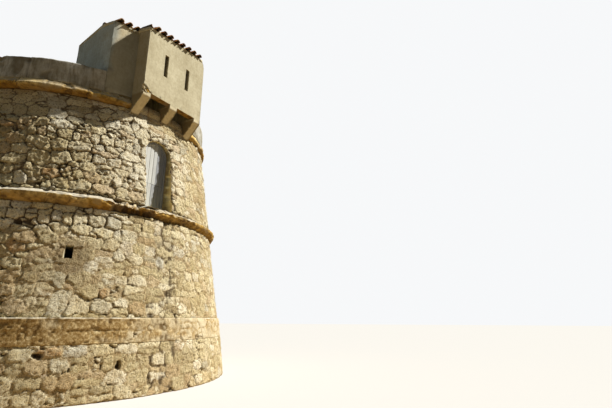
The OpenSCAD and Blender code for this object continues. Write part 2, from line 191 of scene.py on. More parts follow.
def chips(angle, z, size, seed):
    """Broken faces: plates of a size, each tipped and set off on its own, from about -1 to 1."""
    columns = round(TURN * WALL_FOOT_R / size)
    u, v = angle / TURN * columns, z / size + 50.0
    i, j = np.floor(u), np.floor(v)
    best = np.full(u.shape, 9.0)
    kept = np.zeros((4, *u.shape))
    for di, dj in product((-1, 0, 1), repeat=2):
        ci = ((i + di) % columns).astype(np.int64)
        cj = (j + dj).astype(np.int64)
        du = u - (i + di + lattice(ci, cj, cj, seed))
        dv = v - (j + dj + lattice(ci, cj, ci, seed + 1))
        d = du * du + dv * dv
        kept = np.where(d < best, (du, dv, ci, cj), kept)
        best = np.minimum(best, d)
    du, dv = kept[:2]
    ci, cj = kept[2:].astype(np.int64)
    tip = (lattice(ci, cj, cj, seed + 2) - 0.5) * du + (lattice(ci, cj, ci, seed + 3) - 0.5) * dv
    return 2.6 * tip + 0.3 * (lattice(ci, cj, cj, seed + 4) - 0.5)


# Single stones that stand out in the photo: degrees from the front, height, width and height
# of the stone, its tone and its hue, where a hue of 1 is orange
SET_STONES = (
    (-45.5, 4.67, 0.42, 0.46, 1.0, 0.02),
    (-35.6, 5.29, 0.62, 0.42, 0.45, 0.12),
    (-42.4, 5.22, 0.60, 0.42, 0.3, 0.5),
    (-37.0, 4.88, 0.34, 0.25, 0.3, 1.0),
    (-42.2, 3.07, 0.50, 0.36, 0.3, 1.0),
    (-23.7, 3.44, 0.22, 0.14, 0.6, 1.0),
    (-19.9, 2.19, 0.34, 0.24, 0.8, 1.0),
    (-54.7, 6.08, 0.40, 0.22, 0.2, 1.0),
    (-29.8, 0.98, 0.34, 0.14, 0.1, 1.0),
    (-36.0, 3.39, 0.50, 0.42, 0.5, 0.10),
    (-29.7, 1.95, 0.52, 0.50, 0.75, 0.08),
    (-17.0, 3.53, 0.40, 0.50, 0.7, 0.12),
    (-16.8, 3.05, 0.36, 0.36, 0.9, 0.10),
)
# Places with smaller stones: from and to along the wall from the front, from and to in height,
# and how many
SMALL_STONES = (
    (-1.75, 1.35, 4.5, 6.75, 30),
    (0.5, 5.0, 0.1, 3.9, 120),
)


class Stones:
    """Rubble laid in rough courses round the tower, with small pinning stones between.

    A point belongs to the stone whose edge is nearest. The wall is divided into bins, BIN
    metres wide and high, and only the NEAR stones nearest to a bin's middle are looked at for
    the points in it. POWER makes the stones squarer than circles.
    """

    NEAR = 12
    BIN = 0.11
    POWER = 2.3

    def __init__(self, z_from, z_to, seed):
        rows = self.courses(z_from, z_to, np.random.default_rng(seed))
        small = np.random.default_rng(seed + 1)
        for x_from, x_to, low, high, count in SMALL_STONES:
            for x, z in small.uniform((x_from, low), (x_to, high), (count, 2)):
                r = self.radius(z)
                angle = (FRONT * r + x) / r % TURN
                rows.append((angle, z, small.uniform(-0.04, 0.0), small.uniform(0.5, 0.85)))
        found = np.array(rows)
        for degrees, height, wide, high, _, _ in SET_STONES:
            turn = signed(found[:, 0] - FRONT)
            across = (turn - math.radians(degrees)) * self.radius(height) / wide
            found = found[np.hypot(across, (found[:, 1] - height) / high) > 0.52]
        for degrees, height, wide, high, _, _ in SET_STONES:
            angle = (FRONT + math.radians(degrees)) % TURN
            weight = 0.25 * (min(high, wide) - 0.36)
            found = np.vstack([found, [angle, height, weight, min(1.4, (high / wide) ** 0.8)]])
        self.angle, self.height, self.weight, self.stretch = found.T
        size = len(found)
        looks = np.random.default_rng(seed + 5)
        self.tone = looks.uniform(0, 1, size)
        self.hue = looks.uniform(0.0, 0.975, size)
        self.tone[-len(SET_STONES):] = [row[4] for row in SET_STONES]
        self.hue[-len(SET_STONES):] = [row[5] for row in SET_STONES]
        self.out = looks.uniform(-1, 1, size)
        self.lean = looks.uniform(-1, 1, (size, 2))
        self.z_from = z_from
        self.columns = round(TURN * WALL_FOOT_R / self.BIN)
        levels = int((z_to - z_from) / self.BIN) + 2
        self.table = np.empty((levels, self.columns, self.NEAR), np.int64)
        centre = (np.arange(self.columns) + 0.5) / self.columns * TURN
        for level in range(levels):
            height = z_from + (level + 0.5) * self.BIN
            near = np.flatnonzero(np.abs(self.height - height) < 0.65)
            d = self.distance(centre[:, None], height, self.radius(height), near[None, :])
            self.table[level] = near[np.argpartition(d, self.NEAR, axis=1)[:, : self.NEAR]]

    def courses(self, z_from, z_to, rng):
        """Whole, split and broken stones in courses, as angle, height, weight and stretch."""
        rows = []

        def add(x, z, weight, stretch):
            rows.append((x / r % TURN, z, weight, stretch))

        z = z_from
        while z < z_to:
            h = rng.uniform(0.20, 0.34)
            r = self.radius(z + h / 2)
            widths = h * rng.uniform(0.9, 1.9, int(TURN * r / (1.35 * h)))
            widths *= TURN * r / widths.sum()
            x = 0.0
            for w in widths:
                kind = rng.uniform()
                mid = x + w / 2 + rng.uniform(-0.08, 0.08) * w
                if kind < 0.66:
                    lift = rng.uniform(0.42, 0.58) * h
                    add(mid, z + lift, rng.uniform(-0.01, 0.03), (h / w) ** 0.75)
                elif kind < 0.82:
                    split = rng.uniform(0.4, 0.6)
                    for low, high in ((0, split), (split, 1)):
                        flat = (h * (high - low) / w) ** 0.7
                        add(mid + rng.uniform(-0.1, 0.1) * w, z + h * (low + high) / 2, -0.035, flat)
                else:
                    for _ in range(int(rng.integers(3, 6))):
                        add(
                            x + w * rng.uniform(0.12, 0.88), z + h * rng.uniform(0.12, 0.88),
                            rng.uniform(-0.075, -0.045), rng.uniform(0.6, 1.0),
                        )
                x += w
            z += h
            x = 0.0
            while x < TURN * r:
                add(x, z + rng.uniform(-0.03, 0.03), rng.uniform(-0.115, -0.075), rng.uniform(0.5, 1.0))
                x += rng.uniform(0.15, 0.6)
        return rows

    @staticmethod
    def radius(z):
        """Radius of the tower's outer face, roughly, at a height."""
        slope = (WALL_FOOT_R - WALL_TOP_R) / (WALL_TOP_Z - PLINTH_Z)
        return WALL_FOOT_R - slope * (z - PLINTH_Z)

    def distance(self, angle, z, r, k):
        """Distance from a point to the edge of stone k, below 0 inside a heavy stone."""
        du = np.abs(signed(angle - self.angle[k])) * r * self.stretch[k]
        dz = np.abs(z - self.height[k])
        return (du**self.POWER + dz**self.POWER) ** (1 / self.POWER) - self.weight[k]

    def nearest(self, angle, z, r):
        """Each point's stone, its place on that stone and how far it is from the stone's edge."""
        level = np.clip(((z - self.z_from) / self.BIN).astype(np.int64), 0, len(self.table) - 1)
        column = (angle % TURN / TURN * self.columns).astype(np.int64) % self.columns
        near = self.table[level, column]
        best = np.full(angle.shape, 9.0)
        second = np.full(angle.shape, 9.0)
        stone = np.zeros(angle.shape, np.int64)
        for n in range(self.NEAR):
            k = near[..., n]
            d = self.distance(angle, z, r, k)
            closer = d < best
            second = np.where(closer, best, np.minimum(second, d))
            stone = np.where(closer, k, stone)
            best = np.where(closer, d, best)
        du = signed(angle - self.angle[stone]) * r
        return stone, du, z - self.height[stone], (second - best) / 2


STONES = Stones(-0.2, WALL_TOP_Z + 0.6, seed=11)

# Places on the wall: degrees from the front, height, half the width in degrees, half the height
SLIT_PLACE = (-28.5, 2.93, 5.0, 0.42)
PALE_PLACE = (-8, 5.7, 26, 1.5)
OPEN_PLACE = (-34, 5.4, 32, 1.9)
BASE_HOLES = ((-32.8, 0.95, 0.9, 0.05), (-15, 0.68, 0.7, 0.09))
# How far the mortar is flush with the stones, and where
FLUSH_PLACES = (
    (0.85, (-6, 2.7, 6, 1.15)),
    (0.62, (32, 2.4, 34, 1.6)),
    (0.9, (23, 5.6, 19, 1.6)),
    (0.35, (5, 0.6, 32, 0.7)),
    (0.9, SLIT_PLACE),
    (0.95, (-3, 3.55, 6, 0.5)),
    (0.85, (-3, 7.3, 17, 0.75)),
    (0.4, (-13, 5.6, 8, 1.5)),
)


def patch(angle, z, place):
    """1 in the middle of a soft-edged place on the wall, 0 outside."""
    degrees, height, half_degrees, half_height = place
    du = (from_front(angle) - degrees) / half_degrees
    dz = (z - height) / half_height
    return 1 - smooth(np.hypot(du, dz), 0.7, 1.15)


def opening_gap(p):
    """Distance on the wall to the edge of the doorway, with its round head."""
    x = np.abs(p[..., 0] - DOOR_X)
    z = p[..., 2]
    above = np.hypot(x, z - DOOR_SPRING_Z) - DOOR_HALF
    gap = np.where(z > DOOR_SPRING_Z, above, x - DOOR_HALF)
    return np.where(p[..., 1] < 0, gap, 9.0)


def on_left(angle, near, far):
    """1 on the left side, from 0 at near to 1 at far in degrees from the front."""
    return smooth(-from_front(angle), near, far) * (1 - smooth(-from_front(angle), 85, 100))


def under_top_cordon(angle, z, p):
    """1 on the flatter strip of wall under the top cordon, left of the box."""
    return on_left(angle, 17, 27) * smooth(z + 0.05 * layered(p, 0.3, 85, 2), 6.22, 6.42)


def under_mid_cordon(angle, z):
    """1 on the strip of wall in the middle cordon's shade, left of the door."""
    return on_left(angle, 12, 20) * smooth(z, 3.40, 3.60) * (1 - smooth(z, 4.2, 4.4))


def flush_mortar(angle, z, p):
    """How far the mortar is flush with the stones, from 0 to 1."""
    lower = smooth(layered(p, 0.35, 73, 3), -0.35, 0.3) * (1 - smooth(z, 3.6, 4.1))
    lower = lower * (0.30 + 0.32 * smooth(from_front(angle), -24, -10))
    loose = 0.8 * smooth(layered(p, 1.3, 71, 3), 0.12, 0.42) * (1 - patch(angle, z, OPEN_PLACE))
    loose = np.maximum(lower, loose) * (1 - under_mid_cordon(angle, z))
    return np.maximum.reduce([loose] + [far * patch(angle, z, place) for far, place in FLUSH_PLACES])


def rubble(angle, z, r, p):
    """Relief of the rubble wall, and what its material needs to know."""
    sway = 0.045 * layered(p, 0.3, 21, 2) + 0.016 * noise(p, 0.08, 25) + 0.009 * noise(p, 0.045, 27)
    heave = 0.040 * layered(p, 0.27, 31, 2) + 0.014 * noise(p, 0.075, 35) + 0.009 * noise(p, 0.045, 37)
    stone, du, dz, edge = STONES.nearest((angle + sway / r) % TURN, z + heave, r)
    flush = flush_mortar(angle, z, p)
    shaded = under_mid_cordon(angle, z)
    upper = smooth(z, 3.8, 4.4)
    joint = 0.003 + 0.005 * noise(p, 0.13, 42)
    body = smooth(edge, joint, joint + 0.010)
    tip = 0.08 + 0.03 * upper
    lean = tip * STONES.lean[stone, 0] * du + (tip * STONES.lean[stone, 1] - 0.03) * dz
    rough = 0.012 * chips(angle, z, 0.15, 51) + 0.013 * chips(angle, z, 0.08, 61)
    rough = (rough + 0.011 * noise(p, 0.05, 57)) * (0.82 + 0.18 * upper)
    face = 0.006 + (0.009 + 0.004 * upper) * STONES.out[stone] + (lean + rough) * (1 - 0.45 * flush)
    face = face - 0.007 * np.exp(-np.maximum(edge, 0) / 0.012)
    hole = smooth(noise(p, 0.13, 65), 0.2, 0.6)
    depth = -0.016 - 0.018 * upper - 0.014 * noise(p, 0.4, 41) - 0.050 * hole * (1 - 0.85 * flush)
    depth = depth - 0.016 * shaded
    level = depth * (1 - 0.82 * flush) + 0.008 * layered(p, 0.08, 63, 2)
    relief = level + (face - level) * body
    arris = 1 - smooth(opening_gap(p), 0, 0.06)
    relief = relief - 0.030 * arris * (0.6 + 0.6 * noise(p, 0.12, 81))
    by_slit = patch(angle, z, SLIT_PLACE)
    # Painted shade: the stones are darker and browner towards the far left, the side turned from the key
    # light.
    left = -from_front(angle)
    brown = smooth(left, 30 + 10 * upper, 46 + 10 * upper) * (1 - smooth(left, 90, 110))
    brown = brown * (1 - shaded)
    # Painted light in the middle cordon's shadow: the stones there are paler and greyer.
    hue = np.maximum(STONES.hue[stone] * (1 - 0.7 * shaded), 0.16 * brown)
    tone = STONES.tone[stone] * (1 - 0.6 * brown)
    tone = tone + (1 - tone) * np.maximum(0.8 * patch(angle, z, PALE_PLACE), 0.6 * shaded)
    hidden = 0.35 * flush * smooth(noise(p, 0.2, 83), -0.2, 0.4)
    return {
        "relief": relief,
        "tone": tone,
        "hue": np.minimum(hue + 0.25 * brown, np.maximum(hue, 0.9)),
        "stone": body * (1 - hidden) * (1 - 0.6 * by_slit),
        "dirt": np.maximum(0.95 * smooth(-relief, 0.016, 0.040), 0.3 * by_slit),
    }


def wall_relief(angle, z, r, p):
    """Rubble of both storeys, flatter and a little hollow under the top cordon at the left."""
    found = rubble(angle, z, r, p)
    hollow = under_top_cordon(angle, z, p)
    found["relief"] = found["relief"] * (1 - 0.78 * hollow) - 0.056 * hollow
    # Painted shade: the stones in this strip are greyer.
    found["hue"] = found["hue"] * (1 - 0.8 * hollow)
    return found


BAND_LINE_Z = 1.385
BASE_INSET = 0.030
BAND_STEP = rim("plinth_base", BAND_Z) - rim("plinth_band", BAND_Z)


def to_right(angle):
    """0 left of the door, 1 in front of it and to the right, where the plinth's render is gone."""
    return smooth(from_front(angle), -24, 2)


def base_relief(angle, z, r, p):
    """Rubble of the plinth, which stays inside the tower's foot, with two holes."""
    found = rubble(angle, z, r, p)
    ragged = angle + 0.012 * layered(p, 0.12, 75, 2)
    high = z + 0.06 * layered(p, 0.1, 77, 2)
    holes = sum(patch(ragged, high, place) for place in BASE_HOLES)
    top = smooth(z, BAND_Z - 0.10, BAND_Z - 0.02)
    loose = top * smooth(noise(p, 0.16, 79), -0.3, 0.4) * (1 - to_right(angle))
    found["relief"] = np.minimum(found["relief"] - BASE_INSET - 0.03 * loose, -0.002) - 0.12 * holes
    found["dirt"] = np.maximum(found["dirt"], holes)
    return found


def band_relief(angle, z, r, p):
    """Worn render over two courses: pitted, with a ragged line between, and gone at the right."""
    right = to_right(angle)
    drift = np.stack([layered(p, 0.4, seed, 2) for seed in (171, 173, 175)], -1)
    bare = smooth(layered(p + 0.25 * drift, 0.42, 91, 3) + 0.62 * right - 0.1, 0.02, 0.5)
    found = rubble(angle, z, r, p)
    line = np.exp(-(((z - BAND_LINE_Z - 0.02 * layered(p, 0.3, 95, 2)) / 0.014) ** 2))
    line = line * smooth(noise(p, 0.4, 97), -0.5, 0.1) * (1 - 0.8 * right)
    lip = 0.014 * smooth(z, PLINTH_Z - 0.07, PLINTH_Z - 0.04)
    upper = 0.010 * smooth(z, BAND_LINE_Z, BAND_LINE_Z + 0.02)
    pits = smooth(noise(p, 0.055, 96) + 0.5 * noise(p, 0.11, 98), 0.25, 0.7)
    render = 0.007 * layered(p, 0.2, 93, 3) - 0.020 * line + lip + upper - 0.014 - 0.018 * pits
    foot = right * (1 - smooth(z, BAND_Z + 0.04, BAND_Z + 0.18))
    grow = 1 + BAND_STEP / r
    below = rubble(angle, z, r + BAND_STEP, p * np.stack([grow, grow, np.ones_like(grow)], -1))
    worn = render + (0.8 * found["relief"] - 0.020 - render) * bare
    lost = 0.03 * right * smooth(z, PLINTH_Z - 0.10, PLINTH_Z) * smooth(noise(p, 0.3, 99), -0.6, 0.3)
    dirt = np.maximum(found["dirt"] * bare, np.maximum(0.5 * line, 0.55 * pits * (1 - bare)))
    above = {
        "relief": worn,
        "stone": found["stone"] * bare,
        "dirt": dirt,
        "tone": np.where(bare > 0.5, found["tone"], 0.5),
    }
    below["relief"] = below["relief"] - BASE_INSET + BAND_STEP
    below["stone"] = 0.5 + 0.5 * below["stone"]
    mixed = {key: value * (1 - foot) + below[key] * foot for key, value in above.items()}
    mixed["relief"] = mixed["relief"] - lost
    mixed["hue"] = found["hue"] * bare
    return mixed


def stone_lengths(angle, r, length, seed):
    """Distance to the nearest joint between long stones, and two values of each stone's own."""
    n = int(TURN * r.mean() / length)
    rng = np.random.default_rng(seed)
    joints = (np.arange(n) + rng.uniform(-0.28, 0.28, n)) / n * TURN
    value = rng.uniform(0, 1, n + 1)
    step = rng.uniform(-1, 1, n + 1)
    k = np.searchsorted(joints, angle % TURN)
    gap = np.minimum((angle - joints[(k - 1) % n]) % TURN, (joints[k % n] - angle) % TURN) * r
    return gap, value[k % n], step[k % n]


def cordon_relief(angle, z, r, p, length, seed, worn, pale):
    """Long moulded stones with fine joints, bitten and worn back where the photo shows it."""
    bent = (angle + 0.012 * layered(p, 0.12, seed + 11, 2)) % TURN
    gap, value, step = stone_lengths(bent, r, length, seed)
    joint = (1 - smooth(gap, 0.002, 0.016)) * smooth(noise(p, 0.5, seed + 13), -0.6, 0.1)
    pits = layered(p, 0.09, seed + 3, 2)
    relief = 0.007 * step + 0.012 * layered(p, 0.35, seed + 1, 3) + 0.006 * pits
    relief = relief - 0.022 * joint - 0.012
    bite = smooth(layered(p, 0.24, seed + 5, 3), 0.12, 0.42)
    relief = relief - 0.032 * bite - worn * (0.05 + 0.085 * layered(p, 0.13, seed + 7, 3))
    crumbs = 0.55 * worn * smooth(noise(p, 0.1, 139), -0.2, 0.4)
    return {
        "relief": relief,
        "tone": np.clip(0.5 * value + 0.5 * (0.5 + layered(p, 0.6, seed + 9, 2)), 0, 1),
        "hue": np.clip(pale * (1 - 0.2 * worn), 0, 1),
        "stone": 1 - joint,
        "dirt": np.clip(0.8 * joint + crumbs + 0.25 * bite, 0, 1),
    }


# How far the cordons are worn back, and where, and where the middle one is paler
MID_WORN_PLACES = ((1.5, (-11, 4.3, 9, 0.6)), (0.8, (5, 4.3, 8, 0.6)))
TOP_WORN_PLACE = (52, 7.2, 14, 0.6)
MID_PALE_PLACE = (-45, 4.3, 24, 0.8)


def mid_cordon_relief(angle, z, r, p):
    """Middle cordon, broken away in front of the door."""
    ragged = angle + 0.03 * layered(p, 0.3, 141, 2)
    worn = np.maximum.reduce([far * patch(ragged, z, place) for far, place in MID_WORN_PLACES])
    found = cordon_relief(angle, z, r, p, 0.95, 101, worn, 1.0)
    found["tone"] = np.clip(found["tone"] + 0.3 * patch(angle, z, MID_PALE_PLACE), 0, 1)
    return found


def top_cordon_relief(angle, z, r, p):
    """Top cordon, a little worn at the right."""
    worn = 0.4 * patch(angle, z, TOP_WORN_PLACE)
    return cordon_relief(angle, z, r, p, 0.8, 131, worn, 0.4)


PARAPET_SEAM = FRONT - math.radians(52.6)
BROKEN_PLACE = (-65, PARAPET_TOP_Z, 4.2, 0.22)


def parapet_relief(angle, z, r, p):
    """Stained render over blocks whose joints hardly show, with one open seam and a worn top."""
    gap, value, step = stone_lengths(angle, r, 0.75, 151)
    joint = 0.3 * np.exp(-((gap / 0.012) ** 2)) * smooth(noise(p, 0.4, 153), -0.4, 0.3)
    ragged = angle + 0.004 * layered(p, 0.12, 163, 2)
    seam = np.exp(-(((ragged - PARAPET_SEAM) * PARAPET_R / 0.02) ** 2))
    relief = 0.006 * layered(p, 0.45, 155, 3) + 0.004 * noise(p, 0.09, 157)
    lost = smooth(layered(p, 0.35, 159, 3), 0.22, 0.40)
    edge = smooth(z, PARAPET_TOP_Z - 0.05, PARAPET_TOP_Z)
    broken = patch(angle, z, BROKEN_PLACE)
    relief = relief - 0.010 * joint - 0.02 * seam - 0.014 * lost - 0.010 * edge * (1 + noise(p, 0.2, 161))
    relief = relief - 0.05 * broken * (0.7 + layered(p, 0.12, 165, 2))
    return {
        "relief": relief - 0.006,
        "tone": value,
        "hue": 0.6 + 0.2 * step,
        "stone": np.maximum(0.45 * lost, 0.9 * broken),
        "dirt": np.clip(joint + 0.7 * seam + 0.35 * lost, 0, 1),
    }


# Meshes
MARKS = ("tone", "hue", "stone", "dirt")


def mesh_object(name, mesh):
    """Object of the scene that shows a mesh."""
    made = bpy.data.objects.new(name, mesh)
    bpy.context.scene.collection.objects.link(made)
    return made


def new_object(name, verts, faces, smooth_faces=True):
    """Object from plain vertices and faces."""
    mesh = bpy.data.meshes.new(name)
    mesh.from_pydata(np.array(verts, float).tolist(), [], faces)
    mesh.polygons.foreach_set("use_smooth", [smooth_faces] * len(mesh.polygons))
    mesh.update()
    return mesh_object(name, mesh)


def put_marks(target, **marks):
    """Adds the marks that the materials read, 0 where none is given."""
    count = len(target.data.vertices)
    for key in MARKS:
        layer = target.data.attributes.get(key) or target.data.attributes.new(key, "FLOAT", "POINT")
        value = np.broadcast_to(np.asarray(marks.get(key, 0.0), np.float32), (count,))
        layer.data.foreach_set("value", np.ascontiguousarray(value))


@contextmanager
def edited(mesh):
    """The mesh as an editable copy, which is written back at the end."""
    bm = bmesh.new()
    bm.from_mesh(mesh)
    yield bm
    bm.to_mesh(mesh)
    bm.free()


def fix_normals(target):
    """Turns every face of a closed mesh outwards."""
    with edited(target.data) as bm:
        bmesh.ops.recalc_face_normals(bm, faces=bm.faces)


def around(r, angle, z):
    """Points at a radius, an angle and a height."""
    return np.stack([r * np.cos(angle), r * np.sin(angle), z], axis=-1)


def ring_object(name, verts, faces, marks, ends):
    """Object of a ring; its ends, the last faces, are flat so that the rims keep their shading."""
    made = new_object(name, verts, faces)
    put_marks(made, **marks)
    for polygon in made.data.polygons[-ends:]:
        polygon.use_smooth = False
    return made


def edge_rows(outline, shown, step):
    """Points along an outline, closer on shown edges, with their normals and shares of relief."""
    count = len(outline)
    edges = [(outline[i], outline[(i + 1) % count]) for i in range(count)]
    normals = []
    for a, b in edges:
        along = (b - a) / np.hypot(*(b - a))
        normals.append(np.array([along[1], -along[0]]))
    seen = [bool(shown((a + b) / 2, normal)) for (a, b), normal in zip(edges, normals)]
    rows = []
    for i, (a, b) in enumerate(edges):
        corner = normals[i] * seen[i] + normals[i - 1] * seen[i - 1]
        corner = corner if np.hypot(*corner) > 0.1 else normals[i]
        rows.append((*a, *(corner / np.hypot(*corner)), float(seen[i] or seen[i - 1])))
        if seen[i]:
            pieces = max(1, round(float(np.hypot(*(b - a))) / step))
            rows += [(*(a + (b - a) * k / pieces), *normals[i], 1.0) for k in range(1, pieces)]
    return np.array(rows).T


def sweep(name, outline, shown, step, relief, a_from, a_to):
    """Ring segment from a closed outline, whose shown edges get the relief."""
    out_r, out_z, normal_r, normal_z, weight = edge_rows(outline, shown, step)
    starts = np.array([a_from(r) for r in out_r])
    ends = np.array([a_to(r) for r in out_r])
    stations = int(np.max((ends - starts) * out_r) / step) + 1
    angle = starts + (ends - starts) * np.linspace(0, 1, stations)[:, None]
    r = np.broadcast_to(out_r, angle.shape)
    z = np.broadcast_to(out_z, angle.shape)
    found = relief(angle % TURN, z, r, around(r, angle, z))
    move = found["relief"] * weight
    verts = around(r + move * normal_r, angle, z + move * normal_z)
    marks = {key: np.broadcast_to(found[key], angle.shape).ravel() for key in MARKS}
    m = len(out_r)
    i, k = np.meshgrid(np.arange(stations - 1), np.arange(m), indexing="ij")
    j = (k + 1) % m
    quads = np.stack([i * m + k, (i + 1) * m + k, (i + 1) * m + j, i * m + j], axis=-1)
    faces = quads.reshape(-1, 4).tolist()
    faces.append(list(range(m)))
    faces.append(list(range(stations * m - 1, (stations - 1) * m - 1, -1)))
    return ring_object(name, verts.reshape(-1, 3), faces, marks, 2)


def drum(name, r_low, r_high, z_low, z_high, step, relief):
    """Whole solid drum with relief round its side, closed by fans at both ends."""
    levels = max(2, round((z_high - z_low) / step)) + 1
    stations = int(TURN * r_low / step)
    turns = np.linspace(0, TURN, stations, endpoint=False)
    angle, z = np.meshgrid(turns, np.linspace(z_low, z_high, levels), indexing="ij")
    r = np.broadcast_to(np.linspace(r_low, r_high, levels), angle.shape)
    found = relief(angle, z, r, around(r, angle, z))
    verts = around(r + found["relief"], angle, z).reshape(-1, 3)
    marks = {key: np.append(found[key].ravel(), [0.5, 0.5]) for key in MARKS}
    i, k = np.meshgrid(np.arange(stations), np.arange(levels - 1), indexing="ij")
    j = (i + 1) % stations
    quads = np.stack([i * levels + k, j * levels + k, j * levels + k + 1, i * levels + k + 1], -1)
    faces = quads.reshape(-1, 4).tolist()
    foot, top = len(verts), len(verts) + 1
    verts = np.vstack([verts, [[0, 0, z_low], [0, 0, z_high]]])
    for a in range(stations):
        b = (a + 1) % stations
        faces.append([foot, b * levels, a * levels])
        faces.append([top, a * levels + levels - 1, b * levels + levels - 1])
    return ring_object(name, verts, faces, marks, 2 * stations)


class Bodies:
    """Closed bodies that are gathered into one object."""

    def __init__(self):
        self.verts, self.faces, self.tone, self.dirt = [], [], [], []

    def add(self, verts, faces, tone=0.0, dirt=0.0):
        """Adds vertices, and faces that count from the first of them."""
        first = len(self.verts)
        self.faces += [[first + i for i in face] for face in faces]
        self.verts += verts
        self.tone += [tone] * len(verts)
        self.dirt += dirt if isinstance(dirt, list) else [dirt] * len(verts)

    def loft(self, sections, tone=0.0):
        """Adds a closed body through sections with the same number of points."""
        n, last = len(sections[0]), (len(sections) - 1) * len(sections[0])
        faces = [list(range(n)), list(range(last + n - 1, last - 1, -1))]
        for first, i in product(range(0, last, n), range(n)):
            j = (i + 1) % n
            faces.append([first + i, first + i + n, first + j + n, first + j])
        self.add([point for section in sections for point in section], faces, tone)

    def made(self, name, smooth_faces=False):
        """The bodies as one object."""
        piece = new_object(name, self.verts, self.faces, smooth_faces)
        fix_normals(piece)
        return piece

    def marked(self, name, smooth_faces=False):
        """The bodies as one object with marks."""
        piece = self.made(name, smooth_faces)
        put_marks(piece, tone=self.tone, dirt=self.dirt)
        return piece


def bake_modifiers(target):
    """Makes the object's modifiers part of its mesh."""
    graph = bpy.context.evaluated_depsgraph_get()
    mesh = bpy.data.meshes.new_from_object(target.evaluated_get(graph))
    target.modifiers.clear()
    old = target.data
    target.data = mesh
    bpy.data.meshes.remove(old)


def modified(target, kind, **settings):
    """Gives the object a modifier with settings and makes it part of the mesh."""
    tool = target.modifiers.new(kind, kind)
    for key, value in settings.items():
        setattr(tool, key, value)
    bake_modifiers(target)


def cut(target, cutter, inside):
    """Cuts one closed mesh out of another, and the new faces get the material inside."""
    cutter.data.materials.append(inside)
    modified(
        target, "BOOLEAN", operation="DIFFERENCE", solver="EXACT", material_mode="TRANSFER",
        object=cutter,
    )
    bpy.data.objects.remove(cutter)


def finish_piece(piece, slot, *nodes):
    """Dresses a piece, lets it ride on the tower and stand for its CAD nodes."""
    if not piece.data.materials:
        piece.data.materials.append(MATERIAL[slot])
    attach(piece, BODY)
    if nodes:
        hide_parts(*nodes)


# Materials
class Nodes:
    """Short way to write the node tree of a material or a world."""

    def __init__(self, owner):
        owner.use_nodes = True
        self.owner, self.tree = owner, owner.node_tree
        self.place = self.add("TexCoord").outputs["Object"]

    def put(self, socket, value):
        """Links a socket to another, or gives it a value."""
        if isinstance(value, bpy.types.NodeSocket):
            self.tree.links.new(value, socket)
        else:
            socket.default_value = value

    def add(self, kind, inputs=None, **settings):
        """New node with its settings and its inputs."""
        node = self.tree.nodes.new("ShaderNode" + kind)
        for key, value in settings.items():
            setattr(node, key, value)
        for key, value in (inputs or {}).items():
            self.put(node.inputs[key], value)
        return node

    def scaled(self, *scale):
        inputs = {"Scale": scale, "Vector": self.place}
        return self.add("Mapping", inputs).outputs["Vector"]

    def noise(self, scale, detail=4.0, rough=0.55, vector=None):
        inputs = {"Scale": scale, "Detail": detail, "Roughness": rough, "Vector": vector or self.place}
        return self.add("TexNoise", inputs).outputs["Fac"]

    def cells(self, scale, feature="F1"):
        inputs = {"Scale": scale, "Vector": self.place}
        return self.add("TexVoronoi", inputs, feature=feature).outputs["Distance"]

    def mark(self, name):
        return self.add("Attribute", attribute_name=name).outputs["Fac"]

    def ramp(self, fac, *stops):
        node = self.add("ValToRGB", {"Fac": fac})
        parts = node.color_ramp.elements
        while len(parts) < len(stops):
            parts.new(0.5)
        for part, (place, colour) in zip(parts, stops):
            part.position = place
            part.color = (*colour, 1.0)
        return node.outputs["Color"]

    def span(self, value, low, high, to_low=0.0, to_high=1.0):
        """Soft step of a value from one range to another."""
        inputs = {"Value": value, "From Min": low, "From Max": high, "To Min": to_low, "To Max": to_high}
        return self.add("MapRange", inputs, interpolation_type="SMOOTHSTEP").outputs["Result"]

    def maths(self, operation, a, b):
        return self.add("Math", {0: a, 1: b}, operation=operation).outputs["Value"]

    def mix(self, fac, a, b, kind="MIX"):
        node = self.add("Mix", {"Factor": fac}, data_type="RGBA", blend_type=kind)
        for socket, value in zip([s for s in node.inputs if s.type == "RGBA"], (a, b)):
            self.put(socket, (*value, 1.0) if isinstance(value, tuple) else value)
        return [s for s in node.outputs if s.type == "RGBA"][0]

    def tint(self, fac, colour, texture, dark, light):
        """Colour multiplied by a ramp from dark to light over a noise."""
        return self.mix(fac, colour, self.ramp(self.noise(*texture), dark, light), "MULTIPLY")

    def height_of(self, vector):
        return self.add("SeparateXYZ", {"Vector": vector}).outputs["Z"]

    def normal_up(self):
        return self.height_of(self.add("NewGeometry").outputs["Normal"])

    def bump(self, *layers):
        """Chain of bumps, each as height, strength and distance in metres."""
        normal = None
        for value, strength, distance in layers:
            inputs = {"Strength": strength, "Distance": distance, "Height": value}
            if normal is not None:
                inputs["Normal"] = normal
            normal = self.add("Bump", inputs).outputs["Normal"]
        self.put(self.tree.nodes["Principled BSDF"].inputs["Normal"], normal)

    def done(self, colour, roughness):
        shader = self.tree.nodes["Principled BSDF"]
        self.put(shader.inputs["Base Color"], colour)
        self.put(shader.inputs["Roughness"], roughness)
        shader.inputs["Specular IOR Level"].default_value = 0.25
        return self.owner

    def show(self, seen, unseen):
        """Shows one shader to the camera and to mirrors, and another to soft light."""
        rays = self.add("LightPath").outputs
        sharp = self.maths("MAXIMUM", rays["Is Camera Ray"], rays["Is Glossy Ray"])
        sharp = self.maths("MAXIMUM", sharp, rays["Is Transmission Ray"])
        mixed = self.add("MixShader", {"Fac": sharp, 1: unseen, 2: seen}).outputs["Shader"]
        output = [node for node in self.tree.nodes if node.type.startswith("OUTPUT")][0]
        self.put(output.inputs["Surface"], mixed)


def material(name):
    """Nodes of a new material."""
    return Nodes(bpy.data.materials.new(name))


WHITE = (1.0, 1.0, 1.0)


